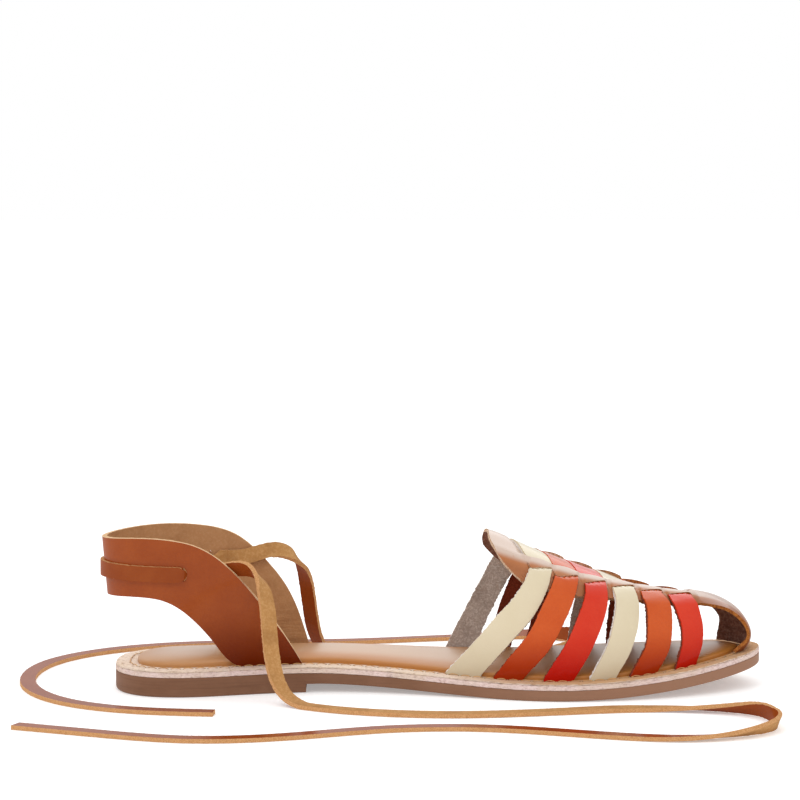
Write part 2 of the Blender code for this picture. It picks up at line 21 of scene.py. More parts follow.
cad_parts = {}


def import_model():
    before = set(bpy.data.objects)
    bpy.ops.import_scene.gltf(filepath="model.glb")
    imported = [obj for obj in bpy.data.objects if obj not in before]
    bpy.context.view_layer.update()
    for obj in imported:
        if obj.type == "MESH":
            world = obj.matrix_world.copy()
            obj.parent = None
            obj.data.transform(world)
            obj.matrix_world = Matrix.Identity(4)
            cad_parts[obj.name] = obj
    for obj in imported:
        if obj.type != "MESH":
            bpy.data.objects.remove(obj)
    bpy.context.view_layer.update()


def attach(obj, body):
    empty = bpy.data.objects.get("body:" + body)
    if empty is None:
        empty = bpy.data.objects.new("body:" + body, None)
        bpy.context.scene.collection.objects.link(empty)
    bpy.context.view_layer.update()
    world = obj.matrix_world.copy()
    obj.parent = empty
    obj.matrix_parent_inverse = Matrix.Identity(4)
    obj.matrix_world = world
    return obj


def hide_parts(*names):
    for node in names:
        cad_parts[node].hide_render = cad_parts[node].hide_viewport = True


MM = 0.001
LOG = logging.getLogger("sandal")
Array = np.ndarray
Colour = tuple[float, float, float]
Table = tuple[tuple[float, ...], ...]


def shade(*channels: int) -> Colour:
    """A display colour, three channels from 0 to 255, as the linear colour shaders take."""
    parts = [value / 255 for value in channels]
    return tuple(p / 12.92 if p <= 0.04045 else ((p + 0.055) / 1.055) ** 2.4 for p in parts)


class Side(Enum):
    """The two sides of the foot, by the sign of their across sizes."""
    INNER = -1
    OUTER = 1


# ------------------------ curves

@dataclass
class SmoothLine:
    """A cubic curve through points, measured by its length."""
    points: Sequence[Sequence[float]]
    closed: bool = False
    per_span: int = 24
    dense: Array = field(init=False)
    along: Array = field(init=False)

    def __post_init__(self) -> None:
        """Works out the curve's fine points and how far along it each lies."""
        pts = np.array(self.points, dtype=float)
        if self.closed:
            pts = np.vstack([pts, pts[:1]])
        step = np.linalg.norm(np.diff(pts, axis=0), axis=1)
        bend = self._second_derivatives(pts, step)
        t = np.linspace(0, 1, self.per_span, endpoint=False)[:, None]
        spans = []
        for i, length in enumerate(step):
            a, b = 1 - t, t
            curve = (a ** 3 - a) * bend[i] + (b ** 3 - b) * bend[i + 1]
            spans.append(a * pts[i] + b * pts[i + 1] + curve * length ** 2 / 6)
        self.dense = np.vstack(spans + [pts[-1:]])
        steps = np.linalg.norm(np.diff(self.dense[:, :3], axis=0), axis=1)
        self.along = np.concatenate([[0], np.cumsum(steps)])

    def _second_derivatives(self, pts: Array, step: Array) -> Array:
        """The curve's second derivatives at its points.

        Args:
            pts: the points, where a closed curve has its first one at the end too.
            step: the distances between them.

        Returns:
            One row for each point.
        """
        last = len(pts) - 1
        matrix = np.zeros((last + 1, last + 1))
        right = np.zeros_like(pts)
        for i in range(1, last):
            matrix[i, i - 1:i + 2] = step[i - 1], 2 * (step[i - 1] + step[i]), step[i]
            right[i] = 6 * ((pts[i + 1] - pts[i]) / step[i] - (pts[i] - pts[i - 1]) / step[i - 1])
        matrix[0, 0] = 1
        matrix[last, last] = 1
        if self.closed:
            matrix[0, last] = -1
            matrix[last, [0, 1, last - 1, last]] += (2 * step[0], step[0], step[-1],
                                                     2 * step[-1] - 1)
            right[last] = 6 * ((pts[1] - pts[0]) / step[0] - (pts[0] - pts[-2]) / step[-1])
        return np.linalg.solve(matrix, right)

    def at(self, distances: Array) -> Array:
        """Points at distances along the curve."""
        return np.column_stack([np.interp(distances, self.along, c) for c in self.dense.T])

    def even(self, count: int) -> Array:
        """Points at even distances along the curve."""
        return self.at(np.linspace(0, self.along[-1], count))


def ease(t: Array) -> Array:
    """Smooth step from nought to one."""
    t = np.clip(t, 0.0, 1.0)
    return t * t * (3 - 2 * t)


def units(vectors: Array) -> Array:
    """The vectors at length one."""
    return vectors / np.maximum(np.linalg.norm(vectors, axis=-1, keepdims=True), 1e-12)


@dataclass(frozen=True)
class Datum:
    """Where the part's origin lies in the sandal's own stations and across sizes."""
    station: float = 123.5
    across: float = 6.9

    def metres(self, points: Array) -> Array:
        """Points in millimetres as places in the part's frame, in metres."""
        return (np.asarray(points, float)[..., :3] - (self.station, self.across, 0.0)) * MM


DATUM = Datum()


# ------------------------ scene and mesh helpers

def linked(name: str, data: Any) -> Object:
    """A new object that holds the data, in the scene."""
    made = bpy.data.objects.new(name, data)
    bpy.context.scene.collection.objects.link(made)
    return made


@contextmanager
def opened(mesh: Mesh) -> Iterator[bmesh.types.BMesh]:
    """A mesh opened for editing, and written back at the end.

    Args:
        mesh: the mesh to edit.

    Yields:
        Its editable form.
    """
    work = bmesh.new()
    work.from_mesh(mesh)
    yield work
    work.to_mesh(mesh)
    work.free()


def evaluated_mesh(made: Object) -> Mesh:
    """A plain mesh of what an object's modifiers make of it."""
    graph = bpy.context.evaluated_depsgraph_get()
    return bpy.data.meshes.new_from_object(
        made.evaluated_get(graph), preserve_all_data_layers=True, depsgraph=graph)


def smooth(mesh: Mesh, sharp: float = 50.0) -> None:
    """Smooths a mesh's shading, up to edges that turn by more than an angle in degrees."""
    mesh.shade_smooth()
    mesh.set_sharp_from_angle(angle=radians(sharp))


# ------------------------ node trees

class Tree:
    """A node tree that is built by short calls."""

    def __init__(self, tree: NodeTree) -> None:
        """Takes the tree to fill."""
        self.tree = tree

    def node(self, kind: str, inputs: Optional[dict[Any, Any]] = None, **settings: Any) -> Node:
        """Adds a node.

        Args:
            kind: the node's type.
            inputs: values or links by socket name or number.
            settings: the node's own settings, set before its sockets.

        Returns:
            The new node.
        """
        made = self.tree.nodes.new(kind)
        for key, value in settings.items():
            setattr(made, key, value)
        for key, value in (inputs or {}).items():
            self.feed(made.inputs[key], value)
        return made

    def result(self, kind: str, inputs: Optional[dict[Any, Any]] = None, output: Any = 0,
               **settings: Any) -> "Term":
        """A new node's output, by name or number. The rest is given as for node()."""
        return Term(self, self.node(kind, inputs, **settings).outputs[output])

    def feed(self, socket: NodeSocket, value: Any) -> None:
        """Sets a socket's value or links it to another socket or term.

        Args:
            socket: the input.
            value: a value, a socket or a term.
        """
        if isinstance(value, Term):
            value = value.socket
        if isinstance(value, NodeSocket):
            self.tree.links.new(value, socket)
        elif isinstance(value, tuple) and socket.type == "RGBA":
            socket.default_value = (*value[:3], 1.0)
        else:
            socket.default_value = value


class Term:
    """What a node gives. Python's operators on it add Math nodes."""

    def __init__(self, tree: Tree, socket: NodeSocket) -> None:
        """Wraps an output socket."""
        self.tree = tree
        self.socket = socket

    def math(self, operation: str, *operands: Any) -> "Term":
        """The result of a Math node on its operands, terms or numbers."""
        return self.tree.result("ShaderNodeMath", dict(enumerate(operands)),
                                operation=operation)

    def __add__(self, other: Any) -> "Term":
        """Sum."""
        return self.math("ADD", self, other)

    def __sub__(self, other: Any) -> "Term":
        """Difference."""
        return self.math("SUBTRACT", self, other)

    def __rsub__(self, other: Any) -> "Term":
        """Difference, with this term taken away."""
        return self.math("SUBTRACT", other, self)

    def __mul__(self, other: Any) -> "Term":
        """Product."""
        return self.math("MULTIPLY", self, other)

    def __abs__(self) -> "Term":
        """Size without sign."""
        return self.math("ABSOLUTE", self)

    __radd__ = __add__
    __rmul__ = __mul__

    def between(self, low: float, high: float) -> "Term":
        """Smooth step from nought at low to one at high, or down where high is the lower."""
        step = self.tree.result("ShaderNodeMapRange", {
            "Value": self, "From Min": min(low, high), "From Max": max(low, high)},
            interpolation_type="SMOOTHSTEP")
        return step if low < high else 1 - step


class Paint(Tree):
    """A material under construction."""

    def __init__(self, name: str) -> None:
        """Makes an empty material with one Principled shader."""
        self.material = bpy.data.materials.new(name)
        self.material.use_nodes = True
        super().__init__(self.material.node_tree)
        self.tree.nodes.clear()
        self.surface = self.node("ShaderNodeBsdfPrincipled")
        self.node("ShaderNodeOutputMaterial", {"Surface": self.surface.outputs[0]})
        self.place = self.node("ShaderNodeTexCoord")
        self.object = self.place.outputs["Object"]

    def axis(self, output: str, letter: str) -> Term:
        """One number of an output of the Texture Coordinate node."""
        return self.result("ShaderNodeSeparateXYZ", {0: self.place.outputs[output]}, letter)

    def height(self) -> Term:
        """Height above the floor, in metres."""
        return self.axis("Object", "Z")

    def station(self) -> Term:
        """Distance forward in the part's frame, in metres."""
        return self.axis("Object", "X")

    def facing_up(self) -> Term:
        """How far the surface itself faces upwards, one where it lies level."""
        return self.axis("Normal", "Z")

    def own_place(self) -> Term:
        """The piece's own place across it or up it, from nought to one."""
        return self.axis("UV", "Y")

    def stretched(self, x: float, y: float, z: float) -> Term:
        """Object coordinates scaled along each axis."""
        return self.result("ShaderNodeMapping", {"Vector": self.object, "Scale": (x, y, z)})

    def noise(self, scale: float, detail: float = 3.0, roughness: float = 0.55,
              vector: Optional[Term] = None) -> Term:
        """Soft random values of about a half.

        Args:
            scale: how many to the metre.
            detail: the texture's detail.
            roughness: how strong the finer values are.
            vector: the coordinates, where they are not the object's own.

        Returns:
            The values.
        """
        return self.result("ShaderNodeTexNoise", {
            "Vector": vector or self.object, "Scale": scale, "Detail": detail,
            "Roughness": roughness})

    def cells(self, scale: float) -> Term:
        """Distances in a random cell pattern, at so many cells to the metre."""
        return self.result("ShaderNodeTexVoronoi", {"Vector": self.object, "Scale": scale},
                           feature="F1")

    def blend(self, factor: Any, first: Any, second: Any, mode: str = "MIX") -> Term:
        """Mixes two colours.

        Args:
            factor: share of the second colour.
            first: a colour or a term.
            second: a colour or a term.
            mode: the Mix node's blend type.

        Returns:
            The mixed colour.
        """
        return self.result("ShaderNodeMix", {0: factor, 6: first, 7: second}, 2,
                           data_type="RGBA", blend_type=mode)

    def relief(self, height: Term, depth: float) -> None:
        """Feeds the shader's Normal with a bump of a depth in metres."""
        self.feed(self.surface.inputs["Normal"], self.result("ShaderNodeBump", {
            "Height": height, "Distance": depth, "Strength": 1.0}))

    def dress(self, **values: Any) -> None:
        """Sets or feeds the shader's sockets, whose names take _ for a space."""
        for key, value in values.items():
            self.feed(self.surface.inputs[key.replace("_", " ")], value)


# ------------------------ finishes

@dataclass(frozen=True)
class Finish:
    """What every finish has: a name, a first colour and a way to mix it."""
    name: str
    colour: Colour

    def make(self) -> Material:
        """Builds the material."""
        paint = Paint(self.name)
        self.mix(paint)
        return paint.material

    def mix(self, paint: Paint) -> None:
        """Fills the new material's nodes."""
        raise NotImplementedError


@dataclass(frozen=True)
class Grain(Finish):
    """Smooth dyed leather, seen from its grain side."""
    deep: Colour
    worn: Colour
    roughness: float
    coat: float = 1.0
    # heights in metres over which painted shade deepens the dye towards the sole
    painted_shade_heights: tuple[float, float] = (0.028, 0.008)
    pore_depth: float = 0.00006
    mottle: float = 0.5
    coat_roughness: float = 0.18
    coat_ior: float = 1.6
    # a painted sheen: the pale colour of the spine's crown, where light catches its top
    crown: Optional[Colour] = None

    def mix(self, paint: Paint) -> None:
        """Mottled dye deepened towards the sole by painted shade, with pores, fine creases and,
        on the spine, a painted sheen on its crown and painted shade on its flanks and toe front."""
        cloud = paint.noise(70, 4)
        fine = paint.noise(900, 3)
        specks = paint.noise(420, 2, 0.5).between(0.70, 0.78)
        dye = paint.blend(cloud.between(0.3, 0.7) * self.mottle, self.colour, self.worn)
        dye = paint.blend(fine.between(0.35, 0.75) * 0.09, dye, self.deep)
        # painted shade: the dye deepens towards the sole, below the given heights
        low = paint.height().between(*self.painted_shade_heights)
        dye = paint.blend(low * 0.9, dye, self.deep)
        # painted sheen on the spine's crown, painted shade on its flanks by the slits, and
        # painted shade over the front of the toe, which also tones the sheen down there
        if self.crown:
            side = abs(paint.own_place() - 0.5) - paint.station().between(0.048, 0.024) * 0.04
            dye = paint.blend(side.between(0.34, 0.28) * 0.9, dye, self.crown)
            dye = paint.blend(side.between(0.33, 0.40) * 0.4, dye, self.deep)
            dye = paint.blend(paint.station().between(0.098, 0.114) * 0.55, dye, self.deep)
        dye = paint.blend(specks * 0.22, dye, self.worn)
        shine = (paint.facing_up().between(0.7, 0.95) * 0.65 + 0.35 - low * 0.25) * self.coat
        pores = paint.cells(1500).between(0.0, 0.55)
        creases = paint.noise(260, 5, 0.6)
        paint.relief(pores * 0.55 + creases * 1.5 + fine * 0.35, self.pore_depth)
        paint.dress(Base_Color=dye, Roughness=cloud * 0.14 + (self.roughness - 0.07),
                    Specular_IOR_Level=0.0, Coat_Weight=shine,
                    Coat_Roughness=self.coat_roughness, Coat_IOR=self.coat_ior)


@dataclass(frozen=True)
class Flesh(Finish):
    """The raw back of leather: a short nap with flecks."""
    fleck: Colour
    dark: Colour
    nap: float = 900.0
    fleck_share: float = 0.55
    depth: float = 0.00022
    wrinkle: float = 0.0

    def mix(self, paint: Paint) -> None:
        """Flecked nap, with wrinkles near the sole on the spine and the heel band, their troughs
        darkened as painted shade.
        """
        nap = paint.noise(self.nap, 4, 0.7)
        cloud = paint.noise(110, 3)
        tint = paint.blend(nap.between(0.42, 0.66) * self.fleck_share, self.colour, self.fleck)
        tint = paint.blend(cloud.between(0.45, 0.75) * 0.45, tint, self.dark)
        height = nap * 1.0 + paint.noise(self.nap * 2.4, 2) * 0.5
        if self.wrinkle:
            low = paint.height().between(0.034, 0.013)
            folds = paint.noise(260, 3, 0.5, paint.stretched(0.35, 0.6, 2.6))
            height = height + folds * low * self.wrinkle
            # painted shade: the wrinkles' troughs are darkened
            tint = paint.blend(low * folds.between(0.6, 0.4) * 0.35, tint, self.dark)
        paint.relief(height, self.depth)
        paint.dress(Base_Color=tint, Roughness=0.93, Specular_IOR_Level=0.2)


@dataclass(frozen=True)
class CutEdge(Finish):
    """Leather cut through: pale or dyed fibres in layers."""
    fibre: Colour
    scale: float = 2800.0
    fore: Optional[Colour] = None

    def mix(self, paint: Paint) -> None:
        """Fibres of two tones; on the spine paler at the throat, partly its own tone and partly a
        painted highlight on the rim, and deeper towards the toe.
        """
        fibres = paint.noise(self.scale, 4, 0.7)
        patches = paint.noise(200, 3)
        tint = paint.blend(fibres.between(0.4, 0.65), self.colour, self.fibre)
        tint = paint.blend(patches.between(0.5, 0.8) * 0.3, tint, self.fibre)
        # the spine edge's pale tone at the throat is partly a painted highlight along the rim; it
        # deepens towards the toe
        if self.fore:
            tint = paint.blend(paint.station().between(0.026, 0.09), tint, self.fore, "MULTIPLY")
        paint.relief(fibres, 0.0002)
        paint.dress(Base_Color=tint, Roughness=0.9, Specular_IOR_Level=0.25)


@dataclass(frozen=True)
class Rubber(Finish):
    """Matt moulded sole rubber."""
    light: Colour
    scuff: Colour
    toe: Colour

    def mix(self, paint: Paint) -> None:
        """Trimming streaks, scuffed lower edges and a paler toe."""
        cloud = paint.noise(55, 4)
        streak = paint.noise(160, 3, 0.6, paint.stretched(0.25, 0.25, 8.0))
        grit = paint.noise(2200, 2)
        tint = paint.blend(cloud.between(0.3, 0.7) * 0.6, self.colour, self.light)
        tint = paint.blend(streak.between(0.45, 0.7) * 0.35, tint, self.scuff)
        tint = paint.blend(paint.station().between(-0.04, 0.09) * 0.8, tint, self.toe)
        worn = paint.height().between(0.0022, 0.0002)
        tint = paint.blend(worn * 0.3, tint, self.light)
        paint.relief(streak * 1.0 + grit * 0.4, 0.00006)
        paint.dress(Base_Color=tint, Roughness=cloud * 0.12 + 0.56, Specular_IOR_Level=0.25)


@dataclass(frozen=True)
class RawBoard(Finish):
    """The trimmed, uncoloured edge of a leather sole layer."""
    pink: Colour
    shadow: Colour
    fibres: float = 0.6
    top: Optional[Colour] = None

    def mix(self, paint: Paint) -> None:
        """Fibres along the layer, short dark pits and, on the welt, a deeper top forward."""
        lay = paint.noise(420, 4, 0.65, paint.stretched(1.0, 1.0, 3.2))
        hair = paint.noise(1500, 3, 0.7, paint.stretched(0.45, 0.45, 1.6))
        cloud = paint.noise(60, 3)
        tint = paint.blend(cloud.between(0.35, 0.65), self.colour, self.pink)
        tint = paint.blend(lay.between(0.55, 0.72) * self.fibres, tint, self.shadow)
        tint = paint.blend(hair.between(0.52, 0.7) * 0.55, tint, self.shadow)
        if self.top:
            fore = paint.facing_up().between(0.6, 0.9) * paint.station().between(-0.01, 0.05)
            tint = paint.blend(fore * 0.75, tint, self.top)
        paint.relief(lay * 1.0 + hair * 0.8, 0.0006)
        paint.dress(Base_Color=tint, Roughness=0.9, Specular_IOR_Level=0.25)


@dataclass(frozen=True)
class Footbed(Finish):
    """Thin polished leather over the insole's padding."""
    # the crown's paler tone, a painted sheen
    pale: Colour
    edge: Colour

    def mix(self, paint: Paint) -> None:
        """Paler on its crown as a painted sheen, and shinier there, with a fine grain."""
        cloud = paint.noise(45, 4)
        rise = paint.own_place()
        # painted sheen: the crown is blended towards the pale colour
        tint = paint.blend(rise.between(0.25, 0.75) * 0.6, self.colour, self.pale)
        tint = paint.blend(cloud.between(0.35, 0.7) * 0.3, tint, self.pale)
        share = paint.station().between(-0.1, -0.03) * 0.5 + 0.35
        tint = paint.blend(paint.station().between(0.0, 0.06) * 0.5, tint, self.edge)
        tint = paint.blend(rise.between(1.0, 0.75) * share, tint, self.edge)
        pores = paint.cells(1700).between(0.0, 0.5)
        wrinkles = paint.noise(120, 4, 0.5)
        paint.relief(pores * 0.35 + wrinkles * 2.2, 0.00007)
        paint.dress(Base_Color=tint, Roughness=cloud * 0.10 + 0.4, Specular_IOR_Level=0.4,
                    Coat_Weight=rise.between(0.6, 1.0) * 0.6 + 0.2, Coat_Roughness=0.36,
                    Coat_IOR=1.42)


@dataclass(frozen=True)
class Thread(Finish):
    """Waxed sewing thread."""
    dark: Colour

    def mix(self, paint: Paint) -> None:
        """Thread whose wax has darkened in places."""
        wax = paint.noise(140, 3)
        twist = paint.noise(1800, 2)
        tint = paint.blend(wax.between(0.45, 0.7) * 0.7, self.colour, self.dark)
        paint.relief(twist, 0.0001)
        paint.dress(Base_Color=tint, Roughness=0.62)


@dataclass(frozen=True)
class StudioPaint(Finish):
    """The floor's plain pale paint."""

    def mix(self, paint: Paint) -> None:
        """Pale paint that glows a little."""
        cloud = paint.noise(6, 2)
        tint = paint.blend(cloud * 0.04, self.colour, (0.8, 0.8, 0.8))
        paint.dress(Base_Color=tint, Roughness=0.85, Specular_IOR_Level=0.1,
                    Emission_Color=(1.0, 1.0, 1.0), Emission_Strength=0.3)


class Wardrobe:
    """Every finish of the sandal, made once and handed out by name."""
    recipes = (
        Grain("cream_leather", shade(213, 199, 169), shade(203, 189, 162), shade(220, 207, 181),
              roughness=0.46, mottle=0.35),
        Grain("orange_leather", shade(194, 78, 24), shade(150, 36, 4), shade(206, 94, 40),
              roughness=0.38),
        Grain("red_leather", shade(204, 48, 22), shade(172, 14, 4), shade(212, 66, 38),
              roughness=0.38),
        # the crown colour is a painted sheen on the spine's top
        Grain("rose_tan_leather", shade(170, 106, 64), shade(128, 70, 36), shade(184, 124, 86),
              roughness=0.36, painted_shade_heights=(0.036, 0.01), crown=shade(206, 186, 172)),
        Grain("saddle_leather", shade(143, 64, 20), shade(92, 24, 2), shade(157, 76, 28),
              roughness=0.42, coat=0.75, painted_shade_heights=(0.036, 0.009)),
        Grain("lace_leather", shade(134, 60, 20), shade(104, 42, 12), shade(150, 76, 32),
              roughness=0.45, coat=0.5, painted_shade_heights=(0.0, -0.01)),
        Flesh("cream_back", shade(178, 163, 152), shade(222, 212, 204), shade(134, 118, 108),
              nap=1300.0, fleck_share=0.75),
        Flesh("red_back", shade(118, 46, 26), shade(146, 70, 44), shade(66, 22, 12)),
        Flesh("spine_back", shade(126, 82, 64), shade(172, 134, 116), shade(72, 42, 36),
              wrinkle=3.0),
        Flesh("band_back", shade(172, 126, 86), shade(190, 148, 108), shade(144, 98, 62),
              fleck_share=0.35, depth=0.00012, wrinkle=5.0),
        Flesh("lace_back_suede", shade(178, 130, 78), shade(202, 158, 106), shade(140, 94, 50),
              depth=0.00016),
        CutEdge("cream_edge", shade(242, 236, 230), shade(212, 202, 194)),
        CutEdge("red_edge", shade(138, 62, 40), shade(88, 36, 20)),
        # its pale tone is partly a painted highlight along the throat's rim
        CutEdge("spine_edge", shade(222, 194, 168), shade(154, 114, 80), 1500.0,
                shade(194, 138, 72)),
        CutEdge("band_edge", shade(226, 194, 154), shade(198, 152, 106)),
        CutEdge("lace_edge", shade(208, 158, 108), shade(176, 122, 72)),
        Rubber("sole_rubber", shade(114, 77, 54), shade(132, 94, 71), shade(98, 64, 45),
               shade(152, 112, 88)),
        RawBoard("welt_board", shade(232, 210, 188), shade(234, 214, 198), shade(164, 124, 92),
                 top=shade(190, 138, 80)),
        RawBoard("midsole_board", shade(229, 207, 192), shade(236, 212, 206),
                 shade(176, 140, 128)),
        Footbed("footbed_leather", shade(178, 127, 74), shade(192, 152, 114),
                shade(176, 110, 40)),
        Thread("tan_thread", shade(212, 164, 106), shade(156, 104, 54)),
        # dark discs at the stitch holes: painted shade of the holes
        Thread("needle_hole", shade(84, 52, 34), shade(50, 30, 20)),
        StudioPaint("studio_floor", (0.86, 0.86, 0.86)),
    )

    def __init__(self) -> None:
        """Starts with nothing made."""
        self.made: dict[str, Material] = {}

    def take(self, name: str) -> Material:
        """The named finish, made on first use."""
        if name not in self.made:
            recipe = next(r for r in self.recipes if r.name == name)
            self.made[name] = recipe.make()
        return self.made[name]


class Dye(Enum):
    """The three colours of the cross straps, with their faces, backs and cut edges."""
    CREAM = ("cream_leather", "cream_back", "cream_edge")
    ORANGE = ("orange_leather", "red_back", "red_edge")
    RED = ("red_leather", "red_back", "red_edge")


# ------------------------ meshes

class Maker:
    """Turns grids and rings of points into finished pieces."""

    def __init__(self, wardrobe: Wardrobe) -> None:
        """Keeps the finishes at hand."""
        self.wardrobe = wardrobe

    def piece(self, name: str, mesh: Mesh, finishes: Sequence[str], slot: str) -> Object:
        """Makes an object of a mesh, dresses it and sets it on the part.

        Args:
            name: the object's name.
            mesh: its mesh, in metres.
            finishes: names of its materials, in order.
            slot: not used.

        Returns:
            The new object.
        """
        made = linked(name, mesh)
        for finish in finishes:
            mesh.materials.append(self.wardrobe.take(finish))
        return self.attach(made, slot)

    @staticmethod
    def attach(made: Object, slot: str) -> Object:
        """Sets a piece on the part."""
        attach(made, "root")
        return made

    @staticmethod
    def settle(made: Object, sharp: float = 50.0) -> None:
        """Turns an object's modifiers into plain mesh and smooths its shading.

        Args:
            made: the object.
            sharp: as in smooth().
        """
        final = evaluated_mesh(made)
        made.modifiers.clear()
        old = made.data
        made.data = final
        bpy.data.meshes.remove(old)
        smooth(final, sharp)

    @staticmethod
    def fray(made: Object, amount: float, seed: int, dyed: bool = False) -> None:
        """Roughens a piece of leather's cut edges, the more the nearer to its back.

        Args:
            made: the piece, whose cut edges have the third material.
            amount: how far out the tufts of the back stand, in millimetres.
            seed: of the random sizes.
            dyed: whether the dye goes round the grain side's corner.
        """
        rng = np.random.default_rng(seed)
        with opened(made.data) as work:
            across = [edge for edge in work.edges
                      if all(face.material_index == 2 for face in edge.link_faces)]
            bmesh.ops.subdivide_edges(work, edges=across, cuts=2, use_grid_fill=True)
            work.normal_update()
            moves = []
            for point in work.verts:
                sorts = {face.material_index for face in point.link_faces}
                if 2 in sorts:
                    out = sum((face.normal for face in point.link_faces
                               if face.material_index == 2), Vector()).normalized()
                    size = 1.0 if 1 in sorts else 0.1 if 0 in sorts else 0.5
                    tuft = abs(noise.noise(point.co * 1000 + Vector((seed, 0, 0))))
                    tuft = tuft + 0.25 * abs(rng.normal(0.0, 1.0)) * amount
                    moves.append((point, out * (size * tuft * amount * MM)))
            if dyed:
                shoulder = [face for face in work.faces if face.material_index == 2 and any(
                    near.material_index == 0 for edge in face.edges
                    for near in edge.link_faces)]
                for face in shoulder:
                    face.material_index = 0
            for point, move in moves:
                point.co += move
        made.data.set_sharp_from_angle(angle=radians(50))

    @staticmethod
    def placed_mesh(name: str, points: Array, faces: Sequence[Sequence[int]],
                    places: Array) -> Mesh:
        """A mesh whose UV map holds its points' own places.

        Args:
            name: the mesh's name.
            points: in metres.
            faces: the numbers of each face's points.
            places: each point's two places, from nought to one.

        Returns:
            The mesh.
        """
        mesh = bpy.data.meshes.new(name)
        mesh.from_pydata(points.tolist(), [], faces)
        layer = mesh.uv_layers.new(name="places")
        corners = np.array([places[loop.vertex_index] for loop in mesh.loops])
        layer.data.foreach_set("uv", corners.ravel())
        return mesh

    def leather(self, name: str, grids: Sequence[Array], places: Sequence[Array],
                thickness: float, finishes: Sequence[str], slot: str,
                turned: bool = False) -> Object:
        """A piece of leather on a middle sheet, with a face, a back and cut edges.

        Args:
            name: the object's name.
            grids: the sheet's points in millimetres, rows by columns by three, in one or more
                grids that are merged where their borders meet.
            places: the same grids' places along and across, from nought to one.
            thickness: in millimetres.
            finishes: names of the materials of face, back and cut edge.
            slot: not used.
            turned: whether the leather's face is on the sheet's other side.

        Returns:
            The new object, with its thickness still a modifier.
        """
        faces, start = [], 0
        for rows, columns in (grid.shape[:2] for grid in grids):
            for r in range(rows - 1):
                for c in range(columns - 1):
                    a = start + r * columns + c
                    quad = (a, a + columns, a + columns + 1, a + 1)
                    faces.append(quad[::-1] if turned else quad)
            start += rows * columns
        mesh = self.placed_mesh(
            name, np.vstack([DATUM.metres(grid).reshape(-1, 3) for grid in grids]), faces,
            np.vstack([place.reshape(-1, 2) for place in places]))
        with opened(mesh) as work:
            bmesh.ops.remove_doubles(work, verts=work.verts, dist=0.000008)
        made = self.piece(name, mesh, finishes, slot)
        wall = made.modifiers.new("thickness", "SOLIDIFY")
        wall.thickness = thickness * MM
        wall.offset = 0.0
        wall.material_offset = 1
        wall.material_offset_rim = 2
        return made

    def strip(self, name: str, grid: Array, lanes: Array, thickness: float,
              finishes: Sequence[str], slot: str, turned: bool = True) -> Object:
        """A strip of leather.

        Args:
            name: the object's name.
            grid: points in millimetres, rows along the strip by lanes across it.
            lanes: the lanes' places across the strip, from nought to one.
            thickness, finishes, slot, turned: as in leather(), where slot is not used.

        Returns:
            The new object, with its thickness still a modifier.
        """
        along = np.linspace(0, 1, len(grid))
        places = np.stack(np.meshgrid(along, lanes, indexing="ij"), axis=-1)
        return self.leather(name, [grid], [places], thickness, finishes, slot, turned)

    def ring_mesh(self, name: str, rings: Sequence[Array],
                  rise: Optional[Sequence[float]] = None) -> Mesh:
        """A closed body of rings that follow one another from its bottom to its top.

        Args:
            name: the mesh's name.
            rings: loops of points in millimetres; the first and the last close on a line.
            rise: each ring's share, kept as the second place of the UV map.

        Returns:
            The mesh, in metres.
        """
        count = len(rings[0])
        faces = []
        for r in range(len(rings) - 1):
            for i in range(count):
                j = (i + 1) % count
                faces.append((r * count + i, r * count + j,
                              (r + 1) * count + j, (r + 1) * count + i))
        shares = rise or np.linspace(0, 1, len(rings))
        places = np.column_stack([np.tile(np.arange(count) / count, len(rings)),
                                  np.repeat(shares, count)])
        mesh = self.placed_mesh(name, np.vstack([DATUM.metres(ring) for ring in rings]),
                                faces, places)
        with opened(mesh) as work:
            bmesh.ops.remove_doubles(work, verts=work.verts, dist=0.00001)
            bmesh.ops.dissolve_degenerate(work, edges=work.edges, dist=0.000004)
            bmesh.ops.recalc_face_normals(work, faces=work.faces)
        smooth(mesh)
        return mesh


# ------------------------ the sandal's shape

